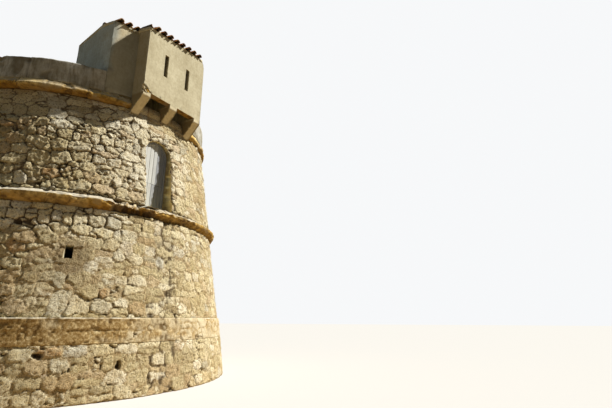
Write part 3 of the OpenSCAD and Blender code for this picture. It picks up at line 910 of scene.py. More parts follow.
def rubble_material():
    m = material("rubble_stone")
    hue = m.mark("hue")
    # Paler tones are partly painted light, in the middle cordon's shadow.
    stone = m.ramp(
        m.mark("tone"),
        (0.0, (0.58, 0.49, 0.29)),
        (0.35, (0.75, 0.665, 0.42)),
        (0.7, (0.89, 0.81, 0.56)),
        (1.0, (1.0, 0.96, 0.79)),
    )
    orange = m.ramp(m.noise(7.0, 5.0, 0.6), (0.44, (0.78, 0.66, 0.42)), (0.58, (0.74, 0.46, 0.19)))
    stone = m.mix(m.span(hue, 0.96, 0.99), stone, orange)
    # Grey for low hues and brown for hues near 0.85: stones have these at random, and the painted shade
    # of the wall's shaded strips and of its far left gives them too.
    stone = m.mix(m.span(hue, 0.0, 0.16, 0.6, 0.0), stone, (0.58, 0.57, 0.49))
    stone = m.mix(m.span(hue, 0.80, 0.86, 0.0, 0.55), stone, (0.62, 0.46, 0.27))
    blotches = (9.0, 6.0, 0.62)
    stone = m.tint(1.0, stone, blotches, (0.32, (0.84, 0.79, 0.68)), (0.56, (1.05, 1.05, 1.05)))
    mortar = m.ramp(m.noise(14.0, 5.0, 0.6), (0.3, (0.40, 0.29, 0.14)), (0.7, (0.66, 0.54, 0.33)))
    colour = m.mix(m.mark("stone"), mortar, stone)
    pits, specks, stains = (26.0, 6.0, 0.72), (60.0, 3.0, 0.6), (0.8, 4.0, 0.6)
    colour = m.tint(0.8, colour, pits, (0.38, (0.26, 0.19, 0.10)), (0.47, (1.04, 1.04, 1.04)))
    colour = m.tint(0.6, colour, specks, (0.30, (0.60, 0.50, 0.34)), (0.46, WHITE))
    colour = m.tint(1.0, colour, stains, (0.36, (0.93, 0.89, 0.81)), (0.56, WHITE))
    colour = m.mix(m.mark("dirt"), colour, (0.10, 0.068, 0.034))
    m.bump(
        (m.noise(26.0, 8.0, 0.74), 1.0, 0.046),
        (m.cells(30.0), 0.6, 0.014),
        (m.noise(110.0, 4.0, 0.6), 0.45, 0.005),
    )
    return m.done(colour, 0.95)


def band_material():
    m = material("band_render")
    render = m.ramp(m.noise(3.2, 6.0, 0.62), (0.32, (0.50, 0.36, 0.15)), (0.68, (0.78, 0.65, 0.37)))
    crust, specks = (18.0, 6.0, 0.68), (60.0, 4.0, 0.62)
    render = m.tint(1.0, render, crust, (0.46, (0.62, 0.52, 0.38)), (0.62, (1.25, 1.28, 1.35)))
    stone = m.ramp(m.mark("tone"), (0.0, (0.60, 0.50, 0.31)), (1.0, (0.84, 0.77, 0.56)))
    colour = m.mix(m.mark("stone"), render, stone)
    colour = m.tint(0.85, colour, specks, (0.35, (0.60, 0.52, 0.38)), (0.55, WHITE))
    edge = m.span(m.height_of(m.place), PLINTH_Z - 0.035, PLINTH_Z - 0.01)
    whole = m.span(m.mark("stone"), 0.0, 0.5, 1.0, 0.1)
    colour = m.mix(m.maths("MULTIPLY", edge, whole), colour, (0.86, 0.80, 0.62))
    colour = m.mix(m.mark("dirt"), colour, (0.17, 0.11, 0.045))
    m.bump((m.noise(22.0, 7.0, 0.65), 0.7, 0.018), (m.noise(95.0, 4.0, 0.6), 0.4, 0.004))
    return m.done(colour, 0.93)


def cordon_material():
    m = material("cordon_stone")
    nose = m.ramp(
        m.mark("tone"),
        (0.2, (0.56, 0.34, 0.065)),
        (0.5, (0.70, 0.47, 0.12)),
        (0.8, (0.82, 0.63, 0.26)),
    )
    blotches = (6.0, 7.0, 0.68)
    nose = m.tint(1.0, nose, blotches, (0.36, (0.30, 0.27, 0.26)), (0.60, (1.15, 1.15, 1.15)))
    crust = m.span(m.noise(3.0, 6.0, 0.65), 0.50, 0.62, 0.0, 0.7)
    nose = m.mix(crust, nose, (0.42, 0.35, 0.22))
    pale = m.ramp(m.noise(11.0, 5.0, 0.6), (0.3, (0.52, 0.45, 0.32)), (0.7, (0.76, 0.71, 0.58)))
    up = m.normal_up()
    # Painted shade: the nose is darker on faces that turn down, and lighter on the others.
    under = m.ramp(m.span(up, -0.75, 0.0), (0.0, (0.66, 0.60, 0.54)), (1.0, (1.22, 1.22, 1.22)))
    nose = m.mix(1.0, nose, under, "MULTIPLY")
    crumb = m.maths("MULTIPLY", m.span(m.noise(16.0, 6.0, 0.7), 0.54, 0.62), m.span(up, -0.1, 0.4))
    top = m.maths("MAXIMUM", m.span(up, 0.2, 0.62), crumb)
    colour = m.mix(m.maths("MULTIPLY", top, m.mark("hue")), nose, pale)
    colour = m.mix(m.mark("dirt"), colour, (0.12, 0.08, 0.045))
    m.bump((m.noise(24.0, 8.0, 0.66), 0.7, 0.016), (m.noise(100.0, 4.0, 0.6), 0.4, 0.004))
    return m.done(colour, 0.92)


def plaster_material(name, low, high, streak, roughness, grey=(0.74, 0.90, 1.22), marked=None):
    """Lime render with rain streaks, stains and small pits, grey where it is marked so."""
    m = material(name)
    base = m.ramp(m.noise(1.7, 6.0, 0.6), (0.32, low), (0.66, high))
    for size, long, dark in ((4.0, 0.45, (0.60, 0.56, 0.48)), (16.0, 0.16, (0.62, 0.58, 0.50))):
        runs = (size, 6.0, 0.65, m.scaled(1.0, 1.0, long))
        base = m.tint(streak, base, runs, (0.36, dark), (0.56, WHITE))
    clouds = (13.0, 6.0, 0.65)
    base = m.tint(0.9, base, clouds, (0.34, (0.86, 0.83, 0.77)), (0.6, (1.03, 1.03, 1.03)))
    # On the parapet these marks are stains and wear. On the box and stair head they are mostly painted
    # light and shade, which browns, greys, darkens and pales the render in places.
    base = m.mix(m.mark("stone"), base, (0.25, 0.185, 0.08))
    base = m.mix(m.mark("hue"), base, m.mix(1.0, base, grey, "MULTIPLY"))
    base = m.mix(m.mark("dirt"), base, (0.10, 0.075, 0.045))
    if marked:
        base = m.mix(m.mark("tone"), base, m.mix(1.0, base, marked, "MULTIPLY"))
    m.bump((m.noise(16.0, 6.0, 0.6), 0.35, 0.012), (m.noise(90.0, 4.0, 0.6), 0.3, 0.003))
    return m.done(base, roughness)


def tile_material():
    m = material("clay_tile")
    clay = m.ramp(
        m.mark("tone"), (0.0, (0.26, 0.10, 0.035)), (0.5, (0.46, 0.20, 0.06)), (1.0, (0.66, 0.36, 0.13))
    )
    lichen = m.span(m.noise(11.0, 6.0, 0.65), 0.54, 0.66, 0.0, 0.7)
    colour = m.mix(lichen, clay, (0.16, 0.13, 0.08))
    # Painted shade: the undersides and hollows of the tiles are near black.
    colour = m.mix(m.span(m.mark("dirt"), 0.8, 1.0), colour, (0.045, 0.034, 0.022))
    m.bump((m.noise(45.0, 6.0, 0.6), 0.5, 0.006))
    return m.done(colour, 0.88)


def wood_material():
    m = material("grey_planks")
    grain = m.noise(6.0, 8.0, 0.65, m.scaled(9.0, 9.0, 0.35))
    wood = m.ramp(grain, (0.3, (0.50, 0.50, 0.47)), (0.5, (0.68, 0.70, 0.67)), (0.75, (0.82, 0.83, 0.80)))
    # Painted shade: a low tone, given to the right planks, makes them dark blue grey.
    tone = m.ramp(m.mark("tone"), (0.0, (0.42, 0.45, 0.54)), (1.0, (1.04, 1.05, 1.07)))
    wood = m.mix(1.0, wood, tone, "MULTIPLY")
    worn = m.span(m.noise(3.0, 6.0, 0.6, m.scaled(3.0, 3.0, 0.5)), 0.58, 0.7, 0.0, 0.6)
    wood = m.mix(worn, wood, (0.36, 0.29, 0.21))
    m.bump((grain, 0.5, 0.004))
    return m.done(wood, 0.8)


def paving_material():
    m = material("worn_paving")
    base = m.ramp(m.noise(2.4, 6.0, 0.62), (0.3, (0.36, 0.30, 0.22)), (0.7, (0.56, 0.49, 0.37)))
    crack = m.span(m.cells(1.6, "DISTANCE_TO_EDGE"), 0.0, 0.025, 0.6, 0.0)
    base = m.mix(crack, base, (0.16, 0.12, 0.08))
    m.bump((m.noise(20.0, 7.0, 0.62), 0.5, 0.01), (m.noise(80.0, 4.0, 0.6), 0.3, 0.003))
    return m.done(base, 0.92)


def vault_material():
    m = material("vault_rubble")
    edge = m.cells(4.5, "DISTANCE_TO_EDGE")
    base = m.ramp(m.noise(5.0, 6.0, 0.62), (0.3, (0.40, 0.34, 0.25)), (0.7, (0.60, 0.52, 0.38)))
    base = m.mix(m.span(edge, 0.0, 0.05, 0.7, 0.0), base, (0.24, 0.18, 0.11))
    m.bump((m.span(edge, 0.0, 0.08), 0.8, 0.02), (m.noise(30.0, 6.0, 0.6), 0.5, 0.01))
    return m.done(base, 0.94)


# The material of every slot in the record
MATERIAL = {
    "rubble": rubble_material(),
    "band_plaster": band_material(),
    "cordon_stone": cordon_material(),
    "parapet_plaster": plaster_material(
        "parapet_render", (0.48, 0.43, 0.31), (0.74, 0.67, 0.51), 0.9, 0.93, (0.92, 1.05, 1.32)
    ),
    # The box's render is paler where tone is marked: painted sunlight and highlights.
    "box_plaster": plaster_material(
        "box_render", (0.64, 0.58, 0.39), (0.77, 0.715, 0.505), 0.2, 0.9, marked=(1.28, 1.25, 1.25)
    ),
    "roof_tile": tile_material(),
    "door_wood": wood_material(),
    "paving": paving_material(),
    "vault_stone": vault_material(),
}
# Orange render of the doorway's reveals: the orange is its own, and its brightness is partly painted
# light, for the light thrown into the recess.
REVEAL = plaster_material("reveal_render", (0.86, 0.68, 0.31), (1.0, 0.86, 0.46), 0.4, 0.92)
for row in frame["record"]["subparts"]:
    mesh = frame["nodes"][row["node"]].data
    mesh.materials.clear()
    mesh.materials.append(MATERIAL[row["material_slot"]])


# Plinth, walls, cordons and parapet
def fixed(angle):
    """The same angle at every radius."""
    return lambda r: angle


def at_x(x):
    """Angle, on the front half, at which a circle of radius r has this x."""
    return lambda r: FRONT + math.asin(max(-1.0, min(1.0, x / r)))


def outer(mid, normal):
    """Whether an outline's edge is the upright outside of the ring."""
    return normal[0] > 0.5 and mid[0] > WALL_TOP_R - 0.02


def outer_over_floor(mid, normal):
    """Whether an edge of the upper wall is upright outside and above the door's sill."""
    return outer(mid, normal) and mid[1] > FLOOR_Z


def bulge(mid, normal):
    """Whether an edge of a cordon's outline faces outwards at all."""
    return normal[0] > 0.05 and mid[0] > WALL_TOP_R - 0.02


def over_foot(mid, normal):
    """Whether an edge of the parapet's outline isn't its foot, since both faces show."""
    return mid[1] > PARAPET_FOOT_Z + 1e-3


def ring(source, shown, steps, relief, segments):
    """Pieces of a ring with their nodes, from segments of a name, two ends and the nodes.

    steps has the mesh step at the front and the one at the back.
    """
    outline = cap_outline(source, LEFT)
    for name, a_from, a_to, *nodes in segments:
        yield sweep(name, outline, shown, steps["back" in name], relief, a_from, a_to), nodes


def back_quarters(name, node):
    """The two segments at the back, from the start of their names and of their nodes."""
    return (
        (name + "_back_right", fixed(RIGHT), fixed(BACK), node + "_back_right"),
        (name + "_back_left", fixed(BACK), fixed(LEFT), node + "_back_left"),
    )


def build_plinth():
    base_top_r, band_foot_r = rim("plinth_base", BAND_Z), rim("plinth_band", BAND_Z)
    band_top_r = rim("plinth_band", PLINTH_Z)
    base = drum("plinth_rubble", FOOT_R, base_top_r, 0.0, BAND_Z, PLINTH_STEP, base_relief)
    finish_piece(base, "rubble", "plinth_base")
    band = drum(
        "plinth_band_render", band_foot_r, band_top_r, BAND_Z, PLINTH_Z, PLINTH_STEP, band_relief
    )
    finish_piece(band, "band_plaster", "plinth_band")


def slit_cutter():
    """Space of the slit window's bay, open at both ends."""
    low_z, high_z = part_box("slit_sill")[1].z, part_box("slit_lintel")[0].z
    co = points("slit_sill")
    centre = co.mean(axis=0)
    angle = math.atan2(centre[1], centre[0]) % TURN
    top = co[np.abs(co[:, 2] - low_z) < 1e-3]
    away = np.array([math.cos(angle), math.sin(angle)])
    side = np.array([-away[1], away[0]])
    reach = top[:, :2] @ away
    breadth = np.abs(top[:, :2] @ side)
    near, far = reach.min(), reach.max()
    wide, narrow = breadth[reach < near + 0.05].max(), breadth[reach > far - 0.05].max()
    over, splay, deep = 0.3, 0.032, 0.10
    corners = (
        (near - over, wide), (far, narrow), (far + over, narrow),
        (far + over, -narrow - splay * (1 + over / deep)), (far, -narrow - splay),
        (far - deep, -narrow), (near - over, -wide),
    )
    bay = Bodies()
    bay.loft([[(*(away * n + side * w), z) for n, w in corners] for z in (low_z, high_z)])
    return bay.made("slit_cutter")


def build_lower_wall():
    segments = (
        (
            "lower_stones_left", fixed(LEFT), fixed(FRONT),
            "lower_wall_left_front", "lower_wall_front_left", "slit_sill", "slit_lintel",
        ),
        ("lower_stones_right", fixed(FRONT), fixed(TURN), "lower_wall_front_right"),
        *back_quarters("lower_stones", "lower_wall"),
    )
    for piece, nodes in ring("lower_wall_back_left", outer, WALL_STEPS, wall_relief, segments):
        piece.data.materials.append(MATERIAL["rubble"])
        if "slit_sill" in nodes:
            cut(piece, slit_cutter(), MATERIAL["box_plaster"])
        finish_piece(piece, "rubble", *nodes)


DOOR_RAGGED = 0.035


def doorway_outline(ragged):
    """Doorway with its round head, from x and z; ragged is how far its stones stand back."""
    jamb = np.linspace(FLOOR_Z, DOOR_SPRING_Z, 30)
    sides = [(1.0, 0.0, z) for z in jamb]
    for a in np.linspace(0, math.pi, 33)[1:-1]:
        sides.append((math.cos(a), math.sin(a), DOOR_SPRING_Z))
    sides += [(-1.0, 0.0, z) for z in jamb[::-1]]
    line = []
    for right, up, z in sides:
        place = np.array([right * 0.3, 0.0, z + up * DOOR_HALF])
        back = ragged * (0.45 + 0.55 * float(layered(place, 0.17, 231, 3)) * 1.6)
        reach = DOOR_HALF + max(0.0, back)
        line.append((DOOR_X + right * reach, z + up * reach))
    return line


def door_cutter():
    """Space in front of and behind the door, with ragged stones as far as the frame."""
    ragged, straight = doorway_outline(DOOR_RAGGED), doorway_outline(0.0)
    stations = (
        (-FOOT_R, ragged), (DOOR_LOW.y - 0.10, ragged), (DOOR_LOW.y - 0.015, straight), (-1.0, straight)
    )
    space = Bodies()
    space.loft([[(x, y, z) for x, z in outline] for y, outline in stations])
    return space.made("door_cutter")


def build_upper_wall():
    split = at_x(DOOR_X)
    segments = (
        ("upper_stones_left", fixed(LEFT), split, "upper_wall_front_left", "door_sill"),
        ("upper_stones_right", split, fixed(TURN), "upper_wall_front_right", "door_head"),
        *back_quarters("upper_stones", "upper_wall"),
    )
    walls = ring("upper_wall_back_left", outer_over_floor, WALL_STEPS, wall_relief, segments)
    for piece, nodes in walls:
        piece.data.materials.append(MATERIAL["rubble"])
        if len(nodes) > 1:
            cut(piece, door_cutter(), REVEAL)
        finish_piece(piece, "rubble", *nodes)


def build_cordons():
    middle = (
        ("mid_cordon_stones_front", fixed(LEFT), fixed(TURN), "mid_cordon_front"),
        ("mid_cordon_stones_back", fixed(RIGHT), fixed(LEFT), "mid_cordon_back"),
    )
    for piece, nodes in ring("mid_cordon_front", bulge, CORDON_STEPS, mid_cordon_relief, middle):
        finish_piece(piece, "cordon_stone", *nodes)
    top = (
        ("top_cordon_stones_left", fixed(LEFT), at_x(-BOX_HALF), "top_cordon_front_left"),
        ("top_cordon_stones_right", at_x(BOX_HALF), fixed(TURN), "top_cordon_front_right"),
        *back_quarters("top_cordon_stones", "top_cordon"),
    )
    for piece, nodes in ring("top_cordon_back_left", bulge, CORDON_STEPS, top_cordon_relief, top):
        finish_piece(piece, "cordon_stone", *nodes)


def build_parapet():
    segments = (
        ("parapet_render_left", fixed(LEFT), at_x(-HEAD_LEFT), "parapet_front_left"),
        ("parapet_render_right", at_x(BOX_HALF), fixed(TURN), "parapet_front_right"),
        *back_quarters("parapet_render", "parapet"),
    )
    for piece, nodes in ring("parapet_back_left", over_foot, PARAPET_STEPS, parapet_relief, segments):
        finish_piece(piece, "parapet_plaster", *nodes)


def build_box_sill():
    low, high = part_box("box_sill")
    outline = np.array([
        [rim("box_sill", low.z, min), low.z], [WALL_TOP_R, low.z],
        [rim("box_sill", high.z), high.z], [rim("box_sill", high.z, min), high.z],
    ])
    step, a_from, a_to = WALL_STEPS[0], at_x(-BOX_HALF), at_x(BOX_HALF)
    piece = sweep("box_sill_stones", outline, outer, step, wall_relief, a_from, a_to)
    finish_piece(piece, "rubble", "box_sill")


# Plastered stair head and box
PLASTERED = (
    "box_front_wall", "box_left_wall", "box_right_wall", "head_front_wall", "head_left_wall",
    "head_back_wall", "corbel_left", "corbel_middle", "corbel_right",
)
PLASTER_GRID = 0.075
ARRIS = 0.014
LOST_CORNER = Vector((-BOX_HALF + 0.045, -BOX_FRONT - 0.01, BOX_Z + 0.05))
LOST_CORNER_SIZE = (0.12, 0.06, 0.10)
# The bare stones in the lost corner, from its centre, with their size and hue
CORNER_STONES = (
    (-0.03, 0.04, 0.02, 0.04, 0.3),
    (0.03, 0.045, -0.04, 0.03, 0.84),
    (0.06, 0.04, -0.06, 0.025, 0.5),
)
TOP_ROUND = 0.20
ROUND_HIGH = 0.34
HEAD_DISH = 0.07
# The stair head's front wall is painted paler above a rising line, a painted sunlit patch where
# the key light reaches it, with painted shade below: the line's rise per metre, its height at the
# tower's axis, and the height over which the edge is soft
SUNLIT_RISE = 1.487
SUNLIT_Z = 11.27
SUNLIT_SOFT = 0.13
# Heights over the box's foot between which its two slits lie
SLITS_OVER_BOX = (0.3, 1.6)


def head_dish(x):
    """How far the stair head's front wall lies back at an x, growing towards the box."""
    return HEAD_DISH * smooth(x, -HEAD_LEFT + 0.05, -BOX_HALF) * (x < -BOX_HALF + 0.02)


def lump(name, centre, size, seed, rough=0.16):
    """Closed rough lump about a centre."""
    bm = bmesh.new()
    bmesh.ops.create_icosphere(bm, subdivisions=3, radius=1.0)
    co = np.array([v.co[:] for v in bm.verts])
    grow = 1 + rough * layered(co + seed, 0.9, seed, 3)
    co = np.sign(co) * np.abs(co) ** 0.8 * grow[:, None] * np.array(size)
    for vert, place in zip(bm.verts, co):
        vert.co = Vector(place) + centre
    mesh = bpy.data.meshes.new(name)
    bm.to_mesh(mesh)
    bm.free()
    return mesh_object(name, mesh)


def joined(name, parts):
    """One object from several, with their marks."""
    mesh = bpy.data.meshes.new(name)
    with edited(mesh) as bm:
        for part in parts:
            bm.from_mesh(part.data)
            bpy.data.objects.remove(part)
    return mesh_object(name, mesh)


def vertex_rows(target, key="co"):
    rows = np.empty(len(target.data.vertices) * 3)
    target.data.vertices.foreach_get(key, rows)
    return rows.reshape(-1, 3)


def slice_faces(bm, low, high):
    """Slices every face along the three axes, so that a relief can be pushed into it."""
    for axis in range(3):
        normal = Vector([float(k == axis) for k in range(3)])
        count = int((high[axis] - low[axis]) / PLASTER_GRID)
        for k in range(1, count):
            place = Vector(low)
            place[axis] = low[axis] + (high[axis] - low[axis]) * k / count
            parts = bm.verts[:] + bm.edges[:] + bm.faces[:]
            bmesh.ops.bisect_plane(bm, geom=parts, plane_co=place, plane_no=normal)


def welded_copy(name):
    """Closed mesh of a CAD node, its split vertices welded."""
    mesh = frame["nodes"][name].data.copy()
    mesh.materials.clear()
    with edited(mesh) as bm:
        bmesh.ops.remove_doubles(bm, verts=bm.verts, dist=1e-5)
    return bpy.data.objects.new(name + "_copy", mesh)


def weld(target, reach):
    """Joins vertices that nearly touch and leaves an edge sharp where two faces meet steeply."""
    with edited(target.data) as bm:
        bmesh.ops.remove_doubles(bm, verts=bm.verts, dist=reach)
        bmesh.ops.recalc_face_normals(bm, faces=bm.faces)
        for edge in bm.edges:
            edge.smooth = edge.calc_face_angle(0.0) < math.radians(50)
        for face in bm.faces:
            face.smooth = True


def plaster_skin():
    """One closed skin over the walls and corbels, with worn arrises, faces of the grid's size
    and a lost corner."""
    made = welded_copy(PLASTERED[0])
    made.name = "box_and_head_render"
    bpy.context.scene.collection.objects.link(made)
    others = bpy.data.collections.new("plaster_parts")
    bpy.context.scene.collection.children.link(others)
    for name in PLASTERED[1:]:
        others.objects.link(welded_copy(name))
    modified(
        made, "BOOLEAN", operation="UNION", solver="EXACT", operand_type="COLLECTION",
        collection=others,
    )
    for part in list(others.objects):
        bpy.data.objects.remove(part)
    bpy.data.collections.remove(others)
    with edited(made.data) as bm:
        bmesh.ops.remove_doubles(bm, verts=bm.verts, dist=1e-4)
        bmesh.ops.dissolve_limit(
            bm, angle_limit=math.radians(0.4), verts=bm.verts, edges=bm.edges
        )
    modified(
        made, "BEVEL", width=ARRIS, segments=2, limit_method="ANGLE", angle_limit=math.radians(35)
    )
    co = vertex_rows(made)
    with edited(made.data) as bm:
        slice_faces(bm, co.min(axis=0).tolist(), co.max(axis=0).tolist())
    made.data.materials.clear()
    made.data.materials.append(MATERIAL["box_plaster"])
    cutter = lump("corner_cutter", LOST_CORNER, LOST_CORNER_SIZE, 211)
    cut(made, cutter, MATERIAL["box_plaster"])
    return made


def plaster_places(p, normal, on_curve):
    """Marks of the render: hue greys it, stone browns it, tone makes it pale, the last mark darkens
    it. Besides the stair head's grey left wall, most of these marks are painted light and shade.
    """
    x, y, z = p.T
    by_slits = points("box_front_wall")
    over = by_slits[:, 2] - BOX_Z
    slit_x = np.abs(by_slits[:, 0])
    on_face = (np.abs(by_slits[:, 1] + BOX_FRONT) < 1e-3) & (slit_x < BOX_HALF / 2)
    on_face = on_face & (over > SLITS_OVER_BOX[0]) & (over < SLITS_OVER_BOX[1])
    slit_x, slit_z = slit_x[on_face], by_slits[on_face, 2]
    middle, half = (slit_x.max() + slit_x.min()) / 2, (slit_x.max() - slit_x.min()) / 2
    # Painted shade: the insides of the box's two slits are darker.
    in_slit = (y > -BOX_FRONT + 0.01) & (y < -BOX_FRONT + 0.25)
    in_slit = in_slit & (np.abs(np.abs(x) - middle) < half + 0.03)
    in_slit = in_slit & (z > slit_z.min() - 0.03) & (z < slit_z.max() + 0.03)

    grey = smooth(-x + 0.06 * layered(p, 0.4, 209, 2), HEAD_LEFT - 0.20, HEAD_LEFT + 0.02)
    grey = grey * smooth(z, PARAPET_TOP_Z - 0.05, PARAPET_TOP_Z + 0.10)
    foot = grey * (1 - smooth(z, PARAPET_TOP_Z + 0.08, PARAPET_TOP_Z + 0.2))
    # Painted shade: under the box's foot the corbels' sides and undersides are browner, and so is the
    # box's left side.
    brown = 0.9 * smooth(BOX_Z - z, 0.0, 0.06) * smooth(normal[:, 1], -0.8, -0.5)
    box_side_shade = (normal[:, 0] < -0.7) & (x > -BOX_HALF - 0.03) & (y < -PARAPET_R + 0.5)
    brown = np.maximum(brown, 0.5 * box_side_shade)
    # Painted highlight: the corbels' fronts are paler.
    corbel_front_highlight = (normal[:, 1] < -0.6) & (z < BOX_Z - 0.03)
    from_bite = np.linalg.norm((p - np.array(LOST_CORNER)) / np.array(LOST_CORNER_SIZE), axis=1)
    bite = (1 - smooth(from_bite, 1.0, 1.12)) * (np.abs(normal[:, 1]) < 0.93)
    # Painted sunlight and painted shade: the stair head's front wall is paler above the line where the
    # key light reaches it, and greyer and browner below it.
    head_front = on_curve & (x < -BOX_HALF + 0.02)
    sunlit = smooth(z - SUNLIT_RISE * x, SUNLIT_Z, SUNLIT_Z + SUNLIT_SOFT)
    sunlit = sunlit * head_front * (normal[:, 1] < -0.5)
    shaded = head_front * (z > PARAPET_TOP_Z - 1.2) * (1 - sunlit)
    return {
        "hue": np.maximum(grey, 0.4 * shaded),
        "stone": np.maximum(brown, 0.35 * shaded),
        "tone": np.maximum(sunlit, corbel_front_highlight),
        "dirt": np.maximum.reduce([0.75 * in_slit, 0.9 * bite, 0.5 * foot]),
    }


def round_top(moved):
    """Rounds the box's right side wall over towards the roof."""
    dx = moved[:, 0] - (BOX_HALF - TOP_ROUND)
    top = np.array([ROOF.under(BOX_HALF, -y) for y in moved[:, 1]])
    stretch = ROUND_HIGH / TOP_ROUND
    dz = (moved[:, 2] - (top - ROUND_HIGH)) / stretch
    over = np.hypot(dx, dz)
    pull = np.where((dx > 0) & (dz > 0) & (over > TOP_ROUND), TOP_ROUND / np.maximum(over, 0.01), 1.0)
    moved[:, 0] = np.where(pull < 1, BOX_HALF - TOP_ROUND + dx * pull, moved[:, 0])
    moved[:, 2] = np.where(pull < 1, top - ROUND_HIGH + dz * pull * stretch, moved[:, 2])


def build_plaster():
    made = plaster_skin()
    p, normal = vertex_rows(made), vertex_rows(made, "normal")
    on_curve = (np.abs(np.hypot(p[:, 0], p[:, 1]) - PARAPET_R) < 0.02) & (p[:, 1] < 0)
    move = 0.005 * layered(p, 0.5, 201, 3) + 0.003 * noise(p, 0.1, 205) - 0.005
    move = move - on_curve * head_dish(p[:, 0])
    moved = p + normal * move[:, None]
    round_top(moved)
    made.data.vertices.foreach_set("co", moved.ravel())
    put_marks(made, **plaster_places(p, normal, on_curve))
    weld(made, ARRIS / 2)
    finish_piece(made, "box_plaster", *PLASTERED)
    stones = []
    for k, (x, y, z, size, hue) in enumerate(CORNER_STONES):
        place = LOST_CORNER + Vector((x, y, z))
        stones.append(lump("corner_stone", place, (size, size * 0.8, size * 0.9), 221 + k, 0.4))
        put_marks(stones[-1], tone=0.5, hue=hue, dirt=0.05, stone=1.0)
    finish_piece(joined("corner_stones", stones), "rubble")


# Roof tiles
TILE_PITCH = 0.215
TILE_LENGTH = 0.44
TILE_SHOWN = 0.34
TILE_PARTS = 8
PAN_R = 0.088
COVER_R = 0.076
TILE_FLAT = 0.9
PAN_BACK = 0.05
COVER_OUT = 0.03
TILE_T = 0.018
BED = 0.012
PAN_LIFT = 0.014
COVER_LIFT = 0.040
VERGE_W = 0.20
VERGE_OUT = 0.085
# Distances at which the left verges over the stair head and over the box end and begin
HEAD_VERGE_END, BOX_VERGE_START = 3.40, 3.62
CREST_LIFT = 0.051
MORTAR_BACK = 0.10
MORTAR_SIZE = (0.06, 0.045, 0.07)
HEAD_EAVE = 0.05


def add_tile(bodies, origin, down, up, r_low, r_high, length, tone, hollow):
    """One half-round tile; down points to the eave, and a hollow tile is open upwards."""
    across = down.cross(up)
    sign = -1.0 if hollow else 1.0
    verts, dirt = [], []
    for inner, layer in enumerate((0.0, -TILE_T)):
        for end in (0.0, 1.0):
            r = r_low + (r_high - r_low) * end + layer
            for k in range(TILE_PARTS + 1):
                a = math.pi * k / TILE_PARTS
                point = origin - down * (length * end)
                point = point + across * (r * math.cos(a)) + up * (sign * r * math.sin(a) * TILE_FLAT)
                if hollow:
                    point = point + up * (r_low * TILE_FLAT)
                verts.append(point)
                # Painted shade: the underside of each tile is marked to be near black.
                dirt.append(1.0 if bool(inner) != hollow else 0.0)
    row = TILE_PARTS + 1
    faces = []
    for k in range(TILE_PARTS):
        faces.append([k, k + 1, row + k + 1, row + k])
        faces.append([2 * row + k + 1, 2 * row + k, 3 * row + k, 3 * row + k + 1])
        faces.append([k + 1, k, 2 * row + k, 2 * row + k + 1])
        faces.append([row + k, row + k + 1, 3 * row + k + 1, 3 * row + k])
    for k in (0, TILE_PARTS):
        faces.append([k, row + k, 3 * row + k, 2 * row + k])
    bodies.add(verts, faces, tone, dirt)


class RoofPlane:
    """The underside of the roof, read from the CAD: two slopes that rise to the right.

    A place on it is an x and n, the distance in front of the tower's axis.
    """

    def __init__(self):
        low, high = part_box("roof_front")
        self.ridge_n, self.eave_n = -high.y, -low.y
        self.rear_n = -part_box("roof_rear")[1].y
        co = points("roof_front")
        ridge = co[np.abs(co[:, 1] + self.ridge_n) < 1e-3]
        self.ridge_left = float(ridge[:, 0].min())
        ends = (self.ridge_left, high.x)
        left_z, right_z = [ridge[np.abs(ridge[:, 0] - x) < 1e-3, 2].min() for x in ends]
        self.rise = float(right_z - left_z) / (high.x - self.ridge_left)
        self.ridge_z = float(left_z)
        self.pitch = self.slope("roof_front", self.eave_n)
        self.rear_pitch = self.slope("roof_rear", self.rear_n)

    def slope(self, name, eave_n):
        """Fall per metre of run, from the lowest point of the eave's edge."""
        co = points(name)
        edge = co[np.abs(co[:, 1] + eave_n) < 1e-3]
        at = edge[edge[:, 2].argmin()]
        level = self.ridge_z + self.rise * (at[0] - self.ridge_left)
        return float(level - at[2]) / abs(eave_n - self.ridge_n)

    def under(self, x, n):
        """Height of the underside at a place."""
        pitch = self.pitch if n > self.ridge_n else self.rear_pitch
        return self.ridge_z + self.rise * (x - self.ridge_left) - pitch * abs(n - self.ridge_n)

    def front_edge(self, x):
        """Distance of the front eave: straight over the box, curved over the stair head."""
        if x > -BOX_HALF - 0.02:
            return self.eave_n
        return math.sqrt((PARAPET_R + HEAD_EAVE) ** 2 - x * x) - float(head_dish(x))


ROOF = RoofPlane()


